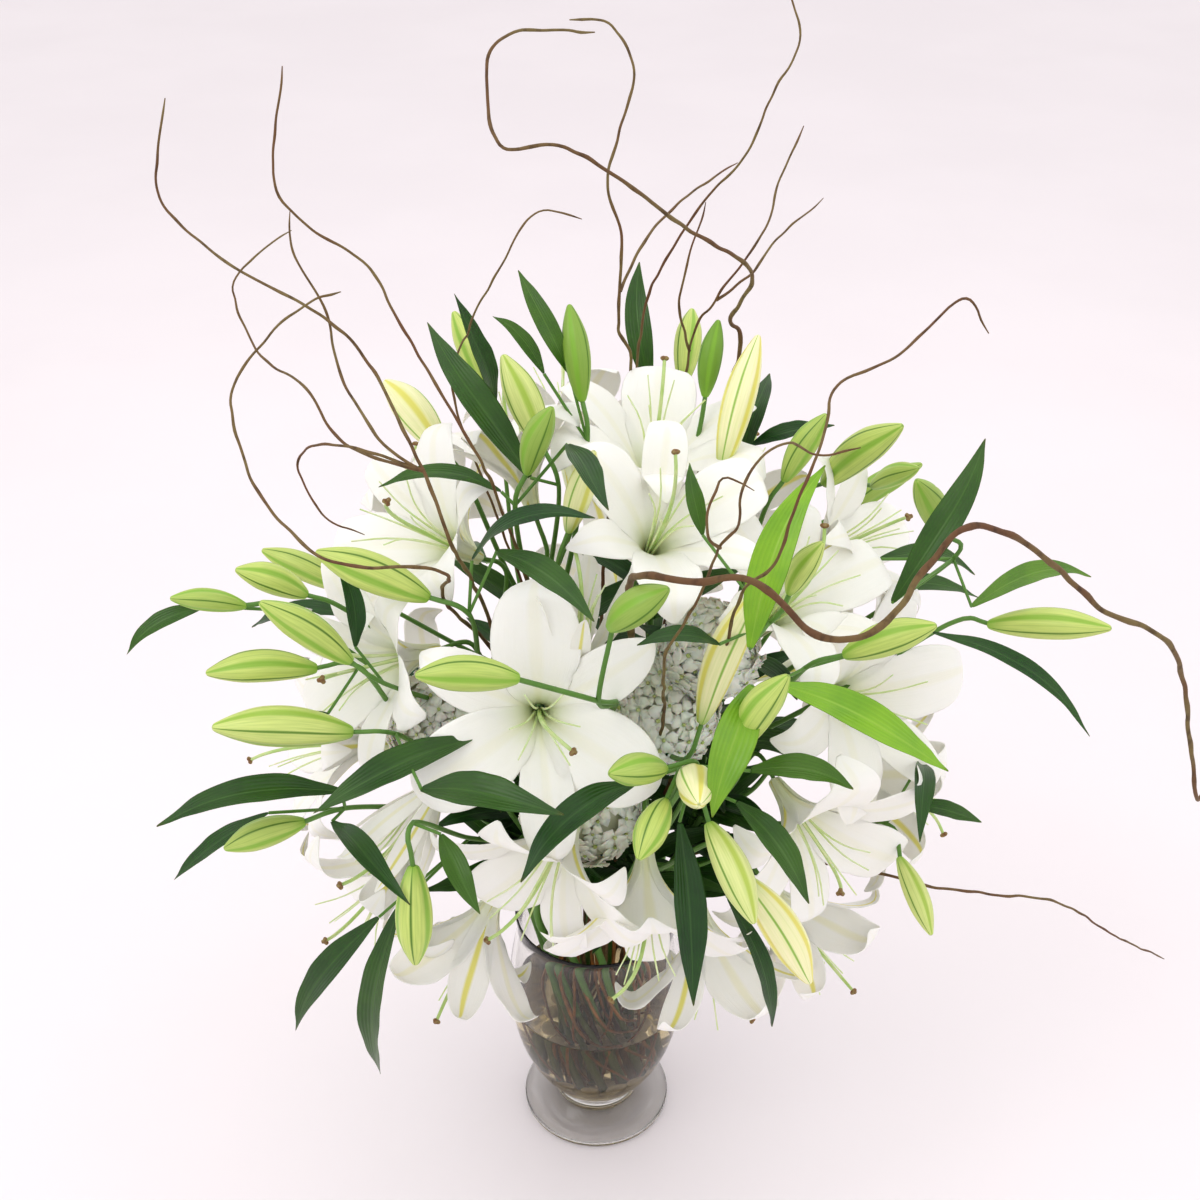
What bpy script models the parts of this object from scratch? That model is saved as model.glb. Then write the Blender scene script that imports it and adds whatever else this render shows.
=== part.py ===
"""White lilies with curly willow and hydrangea in a footed glass vase.

Metres, +Z up. The origin is the centre of the flat underside of the vase's foot.
The arrangement is given in centimetres from there: x to the right, y to the back,
z up. Stems stand in the vase as a hand-tied spiral, so no two of them cross.
"""

import math
import random

import bmesh
import bpy
from mathutils import Matrix, Quaternion, Vector
from mathutils.bvhtree import BVHTree

CM = 0.01
GAP = 0.0003

# vase
FOOT_RADIUS = 0.0775
FOOT_THICKNESS = 0.008
WAIST_RADIUS = 0.042
BOWL_RADIUS = 0.0895
MOUTH_RADIUS = 0.082
VASE_HEIGHT = 0.272
GLASS_WALL = 0.004
FLOOR_HEIGHT = 0.043
VASE_SEGMENTS = 28
WATER_LEVEL = 0.160
WATER_BOTTOM = 0.0635

# pebble bed
PEBBLE_COUNT = 11
PEBBLE_RADIUS = 0.0135
PEBBLE_BED_RADIUS = 0.023
PEBBLE_SHAPE = (1.0, 0.86, 0.42, 1.0)

# spiral of stems through the vase's neck: ring radius, ring radius at the cut ends
NECK_HEIGHT = 0.25
CUT_HEIGHT = 0.068
SPIRAL_TWIST = math.radians(100)
LILY_RING = (0.058, 0.037)
WILLOW_RING = (0.041, 0.025)
HYDRANGEA_RING = (0.021, 0.012)

# lily sizes
STEM_RADIUS = 0.0037
STEM_TAPER = 0.8
STALK_RADIUS = 0.0020
STEM_SIDES = 5
STALK_SIDES = 4
BUD_SIDES = 5
BLOOM_DEPTH = 0.072
TEPALS = 6
LEAF_NECK = 0.0026
LEAF_TIP = 0.0016
LEAF_RIB = 0.0016

# turns in degrees that a bud or a leaf may take to find room
BUD_SWINGS = (0, 8, -8, 16, -16, 24, -24)
LEAF_SWINGS = (0, 10, -10, 20, -20, 30, -30)

# other stems
WILLOW_SIDES = 4
HYDRANGEA_STEM_RADIUS = 0.003
HYDRANGEA_STEM_SIDES = 5

# the fork of each lily stem, and what grows from it (cm)
# blooms: throat, direction it faces, radius of the open flower, how far it has opened (0 to 1)
# buds: base, tip, radius;  leaves: where the blade starts to show, its tip, its width
LILIES = {
    "01": {
        "slot": 2,
        "fork": (5, 2, 66),
        "blooms": [((5, -1, 80), (1, -1, 10), 9.0, 1.0)],
        "buds": [((9, 2, 82), (10, 4, 88), 1.0), ((10, -5, 79), (13, 1, 88), 1.35)],
        "leaves": [((12, 1, 76), (15, 9, 81), 2.2), ((13, 3, 77), (20, 3, 79), 1.8)],
    },
    "02": {
        "slot": 3,
        "fork": (-5, -3, 66),
        "blooms": [((-7, 1, 79), (-3, 4, 9), 7.5, 1.0)],
        "buds": [
            ((-4, -7, 82), (-7, -5, 89), 1.4),
            ((-5, -13, 83), (-3, -14, 89), 1.1),
            ((-1, -3, 84), (-2, 0, 91), 1.1),
            ((-12, -4, 80), (-17, 1, 84), 1.5),
            ((-2, -13, 78), (0, -13, 85), 1.1),
        ],
        "leaves": [
            ((-5, -8, 80), (-13, -1, 90), 2.6),
            ((-2, -2, 86), (-6, 2, 93), 1.7),
            ((-4, -2, 86), (-8, 0, 90), 1.3),
            ((-2, -12, 85), (1, -20, 84), 2.2),
            ((-7, -12, 81), (-16, -13, 82), 1.6),
        ],
    },
    "03": {
        "slot": 0,
        "fork": (12, -3, 60),
        "blooms": [((16, -12, 72), (4, -4, 8), 8.0, 1.0), ((22, -2, 71), (8, -2, 6), 8.0, 0.9)],
        "buds": [
            ((15, -5, 78), (18, -5, 84), 1.1),
            ((19, 0, 75), (24, -5, 83), 1.5),
            ((24, 5, 72), (27, 1, 76), 1.0),
            ((27, -10, 76), (24, -12, 82), 1.2),
        ],
        "leaves": [
            ((22, -18, 75), (29, -11, 85), 2.4),
            ((23, -7, 72), (32, -3, 68), 2.0),
            ((29, -14, 72), (40, -8, 71), 2.0),
        ],
    },
    "04": {
        "slot": 9,
        "fork": (4, -6, 60),
        "blooms": [((5.4, -12, 78.5), (2, -5, 8), 8.0, 0.9), ((-1, -18, 73), (1, -1, 10), 5.0, 0.2)],
        "buds": [((14, -20, 77), (16, -21, 82), 1.0), ((8, -21, 66), (12, -19, 77), 1.4)],
        "leaves": [
            ((11, -24, 75), (16, -19, 87), 2.8),
            ((9, -22, 74), (3, -25, 76), 1.6),
            ((8, -15, 79), (7, -13, 84), 1.4),
        ],
    },
    "05": {
        "slot": 5,
        "fork": (-9, -8, 60),
        "blooms": [((-14, -9, 76), (-6, -4, 6), 8.0, 1.0), ((-18, -15, 67), (-7, -6, 2), 8.5, 1.0)],
        "buds": [
            ((-12, -19, 76), (-20, -19, 80), 1.5),
            ((-18, -20, 71), (-24, -21, 77), 1.3),
            ((-22, -14, 73), (-27, -15, 76), 1.2),
            ((-26, -17, 74), (-31, -19, 76), 0.9),
        ],
        "leaves": [
            ((-9, -17, 78), (0, -21, 84), 1.8),
            ((-7, -19, 80), (0, -28, 80), 2.2),
            ((-29, -17, 74), (-35, -19, 71), 1.5),
            ((-18, -18, 71), (-19, -17, 78), 1.6),
        ],
    },
    "06": {
        "slot": 6,
        "fork": (-12, -8, 52),
        "blooms": [((-24, -7, 53), (-9, -3, 2), 8.0, 1.0)],
        "buds": [
            ((-21, -18, 69), (-29, -20, 70), 1.3),
            ((-18, -22, 66), (-28, -24, 68), 1.6),
            ((-22, -24, 59), (-28, -26, 58), 1.2),
        ],
        "leaves": [
            ((-19, -24, 62), (-32, -28, 62), 2.6),
            ((-25, -23, 59), (-33, -24, 53), 1.6),
            ((-20, -21, 67), (-27, -22, 66), 1.5),
            ((-20, -24, 59), (-13, -34, 60), 2.0),
            ((-12, -31, 68), (-2, -36, 70), 2.8),
        ],
    },
    "07": {
        "slot": 8,
        "fork": (-2, -10, 56),
        "blooms": [((-4, -23, 68), (1, -17, 10), 9.0, 1.0)],
        "buds": [((1, -26, 78), (5, -27, 82), 1.3), ((-5, -29, 76), (-12, -30, 77), 1.3)],
        "leaves": [((-10, -27, 69), (-20, -30, 65), 2.6)],
    },
    "08": {
        "slot": 12,
        "fork": (11, -8, 54),
        "blooms": [((22, -13, 62), (5, -8, 4), 9.0, 1.0)],
        "buds": [
            ((31, -12, 69), (39, -17, 72), 1.3),
            ((18, -22, 73), (24, -24, 77), 1.3),
            ((10, -29, 70), (13, -30, 77), 1.3),
        ],
        "leaves": [
            ((13, -24, 72), (25, -29, 68), 2.8),
            ((11, -27, 74), (8, -34, 68), 3.0),
            ((25, -19, 73), (36, -25, 68), 1.4),
        ],
    },
    "09": {
        "slot": 11,
        "fork": (10, -7, 46),
        "blooms": [((18, -20, 53), (4, -8, -2), 9.0, 1.0), ((26, -8, 49), (9, 0, -3), 8.5, 1.0)],
        "buds": [((25, -18, 50), (27, -24, 47), 1.0)],
        "leaves": [((27, -13, 56), (25, -24, 57), 1.8), ((26, -15, 53), (32, -16, 52), 1.7)],
    },
    "10": {
        "slot": 10,
        "fork": (4, -11, 44),
        "blooms": [
            ((4, -26, 50), (0, -8, -6), 8.5, 0.9),
            ((10, -18, 37), (2, -4, -9), 8.5, 0.8),
            ((19, -13, 36), (6, -3, -7), 8.0, 0.8),
        ],
        "buds": [
            ((5, -31, 67), (3, -36, 66), 1.2),
            ((5, -30, 69), (1, -33, 71), 1.2),
            ((7, -27, 66), (7, -35, 70), 1.4),
            ((8, -31, 65), (11, -37, 61), 1.3),
            ((11, -29, 58), (16, -33, 51), 1.5),
        ],
        "leaves": [
            ((3, -29, 67), (-5, -36, 64), 2.4),
            ((6, -31, 65), (7, -38, 54), 2.4),
            ((10, -28, 55), (14, -30, 43), 1.8),
            ((10, -30, 66), (15, -35, 61), 2.2),
            ((11, -29, 68), (18, -31, 68), 2.2),
        ],
    },
    "11": {
        "slot": 7,
        "fork": (-6, -10, 46),
        "blooms": [
            ((-4, -26, 55), (-4, -8, -4), 9.0, 1.0),
            ((-11, -18, 39), (-4, -3, -8), 8.5, 0.7),
            ((-15, -22, 56), (-6, -4, -7), 5.0, 0.2),
            ((-19, -15, 43), (-6, -6, -5), 7.5, 1.0),
        ],
        "buds": [((-13, -31, 61), (-13, -34, 54), 1.4)],
        "leaves": [
            ((-17, -25, 50), (-25, -25, 37), 2.4),
            ((-15, -27, 53), (-18, -27, 34), 2.8),
            ((-11, -30, 63), (-8, -35, 60), 1.8),
        ],
    },
    "12": {
        "slot": 4,
        "fork": (-6, 7, 54),
        "blooms": [
            ((-15, 12, 66), (-6, 7, 4), 8.5, 1.0),
            ((-3, 19, 72), (-1, 7, 7), 8.5, 1.0),
            ((-18, 10, 46), (-8, 6, -2), 8.5, 0.9),
        ],
        "buds": [((-10, 16, 76), (-13, 20, 82), 1.3), ((-22, 4, 62), (-30, 6, 65), 1.3)],
        "leaves": [
            ((-9, 13, 76), (-12, 12, 87), 2.4),
            ((-22, 6, 58), (-33, 10, 54), 2.2),
            ((-11, 20, 55), (-14, 31, 50), 2.4),
        ],
    },
    "13": {
        "slot": 1,
        "fork": (7, 7, 52),
        "blooms": [
            ((13, 14, 66), (5, 8, 4), 8.5, 1.0),
            ((3, 20, 53), (1, 10, -1), 9.0, 1.0),
            ((21, 8, 52), (9, 5, 0), 8.0, 0.9),
        ],
        "buds": [((8, 17, 76), (9, 23, 81), 1.3), ((22, 10, 66), (30, 13, 70), 1.2)],
        "leaves": [
            ((5, 16, 76), (4, 22, 86), 2.4),
            ((14, 17, 58), (20, 28, 58), 2.4),
            ((24, 6, 60), (36, 9, 58), 2.0),
        ],
    },
}

# curly willow: hand-laid routes (cm) from above the vase's neck to the tip, with side twigs
# route, radius at the neck and at the tip (mm); twigs start on the branch
WILLOW = {
    "01": {
        "radii": (2.4, 0.8),
        "route": [(-5, -6, 45), (-8, -14, 70), (-10, -20, 81), (-12, -18, 86), (-16, -13, 92),
                  (-19, -12, 95), (-24, -10, 97), (-28, -8, 99), (-31, -6, 102), (-30, -4, 108)],
        "twigs": [
            [(-12, -18, 86), (-15, -17, 88), (-18, -13, 91), (-19, -11, 95), (-21, -10, 99),
             (-21, -10, 102)],
            [(-12, -18, 86), (-18, -14, 86), (-21, -11, 89), (-25, -7, 90), (-27, -4, 94),
             (-25, -2, 96), (-23, 0, 97)],
            [(-12, -18, 86), (-16, -17, 87), (-20, -14, 86), (-22, -12, 83), (-20, -14, 80),
             (-17, -15, 79)],
        ],
    },
    "02": {
        "radii": (2.0, 0.8),
        "route": [(-5, -3, 45), (-5, -7, 66), (-7, -14, 81), (-9, -15, 87), (-13, -12, 93),
                  (-16, -10, 98), (-20, -10, 101), (-22, -9, 104), (-21, -7, 111)],
        "twigs": [],
    },
    "03": {
        "radii": (2.2, 0.8),
        "route": [(-6, -8, 42), (-7, -10, 62), (-11, -18, 75), (-10, -24, 81), (-12, -26, 83),
                  (-18, -25, 83), (-23, -21, 86), (-25, -17, 91), (-23, -14, 94), (-20, -12, 96),
                  (-18, -10, 96)],
        "twigs": [],
    },
    "04": {
        "radii": (1.8, 0.7),
        "route": [(-2, 3, 45), (-8, 6, 66), (-12, 6, 80), (-10, 3, 88), (-7, 2, 94), (-5, 3, 97),
                  (-3, 4, 97), (-1, 5, 96)],
        "twigs": [],
    },
    "05": {
        "radii": (3.0, 0.9),
        "route": [(5, 4, 45), (8, 6, 68), (12, 6, 84), (11, 4, 88), (12, -1, 94), (7, -6, 99),
                  (2, -10, 104), (-2, -12, 107), (-6, -12, 107), (-7, -10, 109), (-7, -8, 112),
                  (-5, -6, 113), (0, -2, 112)],
        "twigs": [],
    },
    "06": {
        "radii": (2.5, 0.9),
        "route": [(0, 5, 45), (1, 8, 66), (3, 7, 82), (2, 6, 86), (2, 5, 90), (2, 5, 95), (1, 5, 99),
                  (2, 6, 103), (3, 7, 107), (1, 9, 110), (-2, 10, 110)],
        "twigs": [[(2, 5, 90), (4, 8, 93), (7, 12, 95), (12, 16, 97)]],
    },
    "07": {
        "radii": (2.0, 0.8),
        "route": [(2, 7, 45), (3, 10, 66), (4, 12, 84), (6, 12, 90), (9, 12, 95), (12, 11, 99),
                  (14, 11, 104), (16, 12, 108), (15, 14, 112)],
        "twigs": [],
    },
    "08": {
        "radii": (2.0, 0.8),
        "route": [(5, 6, 45), (7, 9, 66), (8, 9, 83), (10, 8, 88), (14, 9, 94), (15, 11, 97),
                  (17, 13, 101)],
        "twigs": [
            [(10, 8, 88), (13, 9, 90), (15, 11, 92), (19, 13, 95)],
            [(8, 9, 83), (7, 8, 88), (8, 8, 93), (9, 9, 96)],
        ],
    },
    "09": {
        "radii": (2.0, 0.8),
        "route": [(6, -5, 45), (9, -15, 62), (10, -24, 79), (12, -27, 84), (13, -27, 88),
                  (15, -24, 92), (16, -21, 94), (20, -19, 95), (23, -17, 97), (25, -16, 98),
                  (27, -15, 95)],
        "twigs": [],
    },
    "10": {
        "radii": (3.4, 1.6),
        "route": [(3, -7, 45), (3, -14, 66), (4, -22, 77), (4, -28, 83), (7, -31, 85), (9, -32, 86),
                  (11, -32, 85), (14, -34, 83), (17, -34, 83), (19, -33, 84), (21, -31, 86),
                  (24, -29, 88), (29, -27, 85), (35, -25, 79), (40, -24, 76), (43, -22, 71),
                  (45, -21, 65), (47, -20, 59), (48, -19, 57), (49, -18, 58)],
        "twigs": [],
    },
    "11": {
        "radii": (1.8, 0.8),
        "route": [(8, -5, 38), (15, -10, 43), (23, -14, 45), (28, -16, 45), (34, -15, 43),
                  (41, -13, 40), (48, -10, 33), (55, -6, 26)],
        "twigs": [],
    },
    "12": {
        "radii": (2.2, 0.7),
        "route": [(2, -9, 42), (5, -18, 62), (5, -24, 72), (5, -26, 76), (7, -28, 82), (8, -30, 87),
                  (9, -31, 89), (9, -31, 91), (10, -30, 93), (12, -29, 94), (14, -27, 92),
                  (17, -26, 92)],
        "twigs": [[(8, -30, 87), (7, -31, 89), (8, -30, 92), (10, -30, 91)]],
    },
}

# hydrangea heads between the lilies: centre and radius (cm)
HYDRANGEAS = {
    "01": ((5, -14, 62), 3.8),
    "02": ((-12, -13, 60), 3.8),
    "03": ((-1, -17, 55), 4.0),
    "04": ((9, -14, 68), 3.0),
}


def clear_scene():
    for ob in list(bpy.data.objects):
        bpy.data.objects.remove(ob)


def material(name, colour, roughness):
    mat = bpy.data.materials.new(name)
    mat.use_nodes = True
    shader = mat.node_tree.nodes["Principled BSDF"]
    shader.inputs["Base Color"].default_value = (*colour, 1.0)
    shader.inputs["Roughness"].default_value = roughness
    shader.inputs["Metallic"].default_value = 0.0
    mat.diffuse_color = (*colour, 1.0)
    return mat


def to_object(bm, name, mat, flat_angle=40):
    bmesh.ops.recalc_face_normals(bm, faces=bm.faces)
    mesh = bpy.data.meshes.new(name)
    bm.to_mesh(mesh)
    bm.free()
    mesh.materials.append(mat)
    mesh.shade_smooth()
    mesh.set_sharp_from_angle(angle=math.radians(flat_angle))
    ob = bpy.data.objects.new(name, mesh)
    bpy.context.scene.collection.objects.link(ob)
    return ob


def cm(point):
    return Vector(point) * CM


def smooth_route(points, step):
    """Points read about every step metres from a Catmull-Rom curve through the given ones."""
    ends = [2 * points[0] - points[1]] + list(points) + [2 * points[-1] - points[-2]]
    route = []
    for a, b, c, d in zip(ends, ends[1:], ends[2:], ends[3:]):
        count = max(1, round((c - b).length / step))
        for i in range(count):
            t = i / count
            route.append(0.5 * (2 * b + (c - a) * t + (2 * a - 5 * b + 4 * c - d) * t ** 2
                                + (3 * b - a - 3 * c + d) * t ** 3))
    route.append(points[-1].copy())
    return route


def frames_along(route):
    """A rotation at each point that carries +Z along the route without twisting it."""
    tangents = [(b - a).normalized() for a, b in zip(route, route[1:])]
    middle = [(a + b).normalized() for a, b in zip(tangents, tangents[1:])]
    tangents = [tangents[0]] + middle + [tangents[-1]]
    turn = Vector((0, 0, 1)).rotation_difference(tangents[0])
    frames = [turn]
    for a, b in zip(tangents, tangents[1:]):
        turn = a.rotation_difference(b) @ turn
        frames.append(turn)
    return frames


def add_rings(bm, rings):
    """Skins rings of points that have the same count, and closes both ends."""
    verts = [[bm.verts.new(point) for point in ring] for ring in rings]
    for low, high in zip(verts, verts[1:]):
        for i in range(len(low)):
            j = (i + 1) % len(low)
            bm.faces.new((low[i], low[j], high[j], high[i]))
    bm.faces.new(list(reversed(verts[0])))
    bm.faces.new(verts[-1])


def tube(route, radii, sides):
    bm = bmesh.new()
    rings = []
    for point, turn, radius in zip(route, frames_along(route), radii):
        ring = []
        for i in range(sides):
            angle = math.tau * i / sides
            ring.append(point + turn @ Vector((radius * math.cos(angle), radius * math.sin(angle), 0)))
        rings.append(ring)
    add_rings(bm, rings)
    return bm


def tapered(start, end, count):
    return [start + (end - start) * i / (count - 1) for i in range(count)]


def bud(base, tip, radius):
    """A closed bud: slim at its stalk, fullest past the middle, blunt at the tip."""
    along = (0.0, 0.2, 0.68, 1.0)
    fullness = (0.25, 0.78, 1.0, 0.18)
    route = [base.lerp(tip, t) for t in along]
    return tube(route, [radius * f for f in fullness], BUD_SIDES)


def leaf(root, tip, start, width):
    """A narrow arched blade with a keel; it leaves its stem as a slim neck."""
    bend = start.lerp(tip, 0.5) + Vector((0, 0, 0.12 * (tip - start).length))
    route = [root, start, bend, tip]
    tangents = [(b - a).normalized() for a, b in zip(route, route[1:])]
    middle = [(a + b).normalized() for a, b in zip(tangents, tangents[1:])]
    tangents = [tangents[0]] + middle + [tangents[-1]]
    across = tangents[-1].cross(Vector((0, 0, 1)))
    if across.length < 0.2:
        across = tangents[-1].cross(Vector((0, 1, 0)))
    rings = []
    for point, tangent, wide in zip(route, tangents, (LEAF_NECK, 0.5 * width, width, LEAF_TIP)):
        side = (across - tangent * across.dot(tangent)).normalized()
        keel = side.cross(tangent) * max(LEAF_RIB, wide * 0.08)
        rings.append([point - side * wide / 2, point + keel, point + side * wide / 2])
    bm = bmesh.new()
    add_rings(bm, rings)
    return bm


def bloom(throat, facing, radius, opening, smaller, roll):
    """A lily flower as one closed cup: six recurved lobes round a narrow throat."""
    axis = Vector(facing).normalized()
    base = cm(throat) - axis * BLOOM_DEPTH
    radius = radius * CM * smaller
    turn = Vector((0, 0, 1)).rotation_difference(axis) @ Quaternion((0, 0, 1), roll)
    rim_height = BLOOM_DEPTH + 0.045 - 0.030 * opening
    tip_radius = 0.028 + (radius - 0.028) * (0.35 + 0.65 * opening)
    notch_radius = min(0.024 + 0.024 * opening, 0.9 * tip_radius)
    outer = [(0.0, 0.0045, 0.0045), (0.032, 0.0125, 0.0115), (0.066, 0.031 + 0.012 * opening, 0.022),
             (rim_height, tip_radius, notch_radius)]
    inner = [(0.072, 0.022 + 0.010 * opening, 0.015), (0.042, 0.0085, 0.0075)]
    rings = []
    for height, at_tepal, between in outer + inner:
        ring = []
        for i in range(2 * TEPALS):
            reach = at_tepal if i % 2 == 0 else between
            rise = height if i % 2 == 0 or height < rim_height else height - 0.006
            angle = math.pi * i / TEPALS
            ring.append(base + turn @ Vector((reach * math.cos(angle), reach * math.sin(angle), rise)))
        rings.append(ring)
    bm = bmesh.new()
    add_rings(bm, rings)
    return bm


def united(pieces, name, mat, operation='UNION'):
    """One closed body from overlapping pieces, or from the first with the rest cut away."""
    obs = [to_object(bm, f"{name}_piece", mat) for bm in pieces]
    if len(obs) > 1:
        helpers = bpy.data.collections.new(f"{name}_pieces")
        bpy.context.scene.collection.children.link(helpers)
        for ob in obs[1:]:
            helpers.objects.link(ob)
        boolean = obs[0].modifiers.new("union", 'BOOLEAN')
        boolean.operation = operation
        boolean.solver = 'MANIFOLD'
        boolean.operand_type = 'COLLECTION'
        boolean.collection = helpers
        graph = bpy.context.evaluated_depsgraph_get()
        mesh = bpy.data.meshes.new_from_object(obs[0].evaluated_get(graph))
    else:
        helpers = None
        mesh = obs[0].data.copy()
    for ob in obs:
        bpy.data.objects.remove(ob)
    if helpers:
        bpy.data.collections.remove(helpers)
    bm = bmesh.new()
    bm.from_mesh(mesh)
    bpy.data.meshes.remove(mesh)
    drop_crumbs(bm)
    return to_object(bm, name, mat)


def drop_crumbs(bm):
    """Deletes the specks that a union can leave where pieces meet."""
    waiting = set(bm.verts)
    while waiting:
        part = [waiting.pop()]
        for vert in part:
            for edge in vert.link_edges:
                other = edge.other_vert(vert)
                if other in waiting:
                    waiting.remove(other)
                    part.append(other)
        if len(part) < 10:
            bmesh.ops.delete(bm, geom=part, context='VERTS')


def tree_of(ob):
    bm = bmesh.new()
    bm.from_mesh(ob.data)
    tree = BVHTree.FromBMesh(bm)
    bm.free()
    return tree


def first_clear(candidates, build, trees):
    """The first candidate whose shape touches none of the trees, and that shape."""
    for candidate in candidates:
        bm = build(candidate)
        tree = BVHTree.FromBMesh(bm)
        if not any(tree.overlap(other) for other in trees):
            break
    return candidate, bm


def spiral_points(ring, slot, slots, offset=0.0):
    """Where a stem of a ring stands at the cut end and at the neck."""
    at_neck = math.tau * slot / slots + offset
    at_cut = at_neck + SPIRAL_TWIST
    neck_radius, cut_radius = ring
    cut = Vector((cut_radius * math.cos(at_cut), cut_radius * math.sin(at_cut), CUT_HEIGHT))
    neck = Vector((neck_radius * math.cos(at_neck), neck_radius * math.sin(at_neck), NECK_HEIGHT))
    return cut, neck


def turned(profile):
    """A solid of revolution from (radius, height) points that start and end on the axis."""
    bm = bmesh.new()
    verts = [bm.verts.new((r, 0.0, z)) for r, z in profile]
    edges = [bm.edges.new(pair) for pair in zip(verts, verts[1:])]
    bmesh.ops.spin(bm, geom=verts + edges, cent=(0, 0, 0), axis=(0, 0, 1), angle=math.tau,
                   steps=VASE_SEGMENTS, use_merge=True)
    bmesh.ops.remove_doubles(bm, verts=bm.verts, dist=0.00001)
    return bm


def inside_profile(gap):
    """The vase's inner wall from the lip down to the floor, moved inwards by gap."""
    wall = GLASS_WALL + gap
    return [
        (MOUTH_RADIUS - wall, VASE_HEIGHT), (0.0785 - wall, 0.250), (0.080 - wall, 0.238),
        (0.086 - wall, 0.212), (BOWL_RADIUS - wall, 0.178), (0.0885 - wall, 0.145),
        (0.084 - wall, 0.112), (0.0755 - wall, 0.084), (0.064 - wall, 0.062),
        (0.048 - gap, FLOOR_HEIGHT + 0.005), (0.036, FLOOR_HEIGHT), (0.0, FLOOR_HEIGHT),
    ]


def make_water(mat, holes):
    """The water above the pebbles, with a hole for each stem that stands in it."""
    wall = [(r, z) for r, z in inside_profile(2 * GAP) if WATER_BOTTOM < z < WATER_LEVEL]
    surface = [(0.0, WATER_LEVEL), (wall[0][0], WATER_LEVEL)]
    underside = [(wall[-1][0] - 0.011, WATER_BOTTOM), (0.0, WATER_BOTTOM)]
    return united([turned(surface + wall + underside)] + holes, "water", mat, 'DIFFERENCE')


def hole(line, radii, sides):
    """A stem's outline made wider by the gap, to cut its way through the water."""
    start = line[0] - (line[1] - line[0]).normalized() * 2 * GAP
    return tube([start] + line[1:], [radius + 2 * GAP for radius in radii], sides)


def make_vase(mat):
    outside = [
        (0.0, 0.0), (FOOT_RADIUS - 0.003, 0.0), (FOOT_RADIUS, 0.003), (FOOT_RADIUS, FOOT_THICKNESS),
        (FOOT_RADIUS - 0.004, FOOT_THICKNESS + 0.003), (WAIST_RADIUS + 0.012, 0.016), (WAIST_RADIUS, 0.022),
        (WAIST_RADIUS + 0.001, 0.029), (0.052, 0.042), (0.064, 0.060), (0.0755, 0.084), (0.084, 0.112),
        (0.0885, 0.145), (BOWL_RADIUS, 0.178), (0.086, 0.212), (0.080, 0.238), (0.0785, 0.250),
        (MOUTH_RADIUS, VASE_HEIGHT),
    ]
    return to_object(turned(outside + inside_profile(0.0)), "vase", mat, flat_angle=50)


def make_pebbles(mat):
    """Flat pebbles that lie against each other on the bowl's floor."""
    rng = random.Random(4)
    pieces = []
    lowest = FLOOR_HEIGHT + GAP + 0.0075
    for i in range(PEBBLE_COUNT):
        bm = bmesh.new()
        bmesh.ops.create_icosphere(bm, subdivisions=1, radius=PEBBLE_RADIUS)
        reach = 0.0 if i == 0 else PEBBLE_BED_RADIUS
        angle = math.tau * i / (PEBBLE_COUNT - 1)
        height = lowest + 0.002 * (i % 3)
        tilt = Matrix.Rotation(math.radians(rng.uniform(-12, 12)), 4, 'X')
        place = Matrix.Translation((reach * math.cos(angle), reach * math.sin(angle), height))
        spin = Matrix.Rotation(rng.uniform(0, math.tau), 4, 'Z')
        flat = Matrix.Diagonal(PEBBLE_SHAPE)
        bmesh.ops.transform(bm, matrix=place @ spin @ tilt @ flat, verts=bm.verts)
        pieces.append(bm)
    return united(pieces, "pebbles", mat)


def pushes(reaches):
    """Sideways shifts to try, the smallest first."""
    shifts = [Vector((0, 0, 0))]
    for reach in reaches:
        for step in range(8):
            angle = math.tau * step / 8
            shifts.append(Vector((reach * math.cos(angle), reach * math.sin(angle), 0)))
    return shifts


def main_stem(lily, trees):
    """Centre line of a lily's stem, from its cut end through the vase's neck to its fork."""
    cut, neck = spiral_points(LILY_RING, lily["slot"], len(LILIES))
    fork = cm(lily["fork"])
    leaving = neck + (neck - cut).normalized() * 0.05
    lines = []
    for push in pushes((0.01, 0.02, 0.03)):
        above = smooth_route([neck, leaving, leaving.lerp(fork, 0.5) + push, fork], 0.09)
        lines.append([cut, cut.lerp(neck, 0.5)] + above)
    return first_clear(lines, stem_tube, trees)


def stem_tube(line):
    return tube(line, tapered(STEM_RADIUS, STEM_RADIUS * STEM_TAPER, len(line)), STEM_SIDES)


def stalk_routes(fork, end, axis):
    """Bent centre lines from the fork to a flower or a bud, the straightest one first."""
    across = (end - fork).cross(axis)
    if across.length < 0.001:
        across = (end - fork).cross(Vector((1, 0, 0)))
    across.normalize()
    routes = []
    for sway in (0.0, 0.02, 0.04, 0.06, 0.08, 0.1, 0.12, 0.14, 0.16):
        for step in range(6 if sway else 1):
            push = Quaternion((end - fork).normalized(), math.tau * step / 6) @ across
            bend = end - axis * 0.035 + push * sway
            curve = [fork.lerp(bend, t).lerp(bend.lerp(end, t), t) for t in (0.0, 0.5)]
            routes.append(curve + [end - axis * 0.006, end])
    return routes


def stalk_tube(route):
    return tube(route, tapered(STALK_RADIUS * 1.2, STALK_RADIUS, len(route)), STALK_SIDES)


def turned_tips(base, tip, reaches, swings):
    """Places for a tip that has turned about its base or stayed nearer to it."""
    tips = []
    for reach in reaches:
        for swing in swings:
            for axis in (Vector((0, 0, 1)), Vector((1, 0, 0)), Vector((0, 1, 0))):
                tips.append(base + Quaternion(axis, math.radians(swing)) @ ((tip - base) * reach))
    return tips


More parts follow.
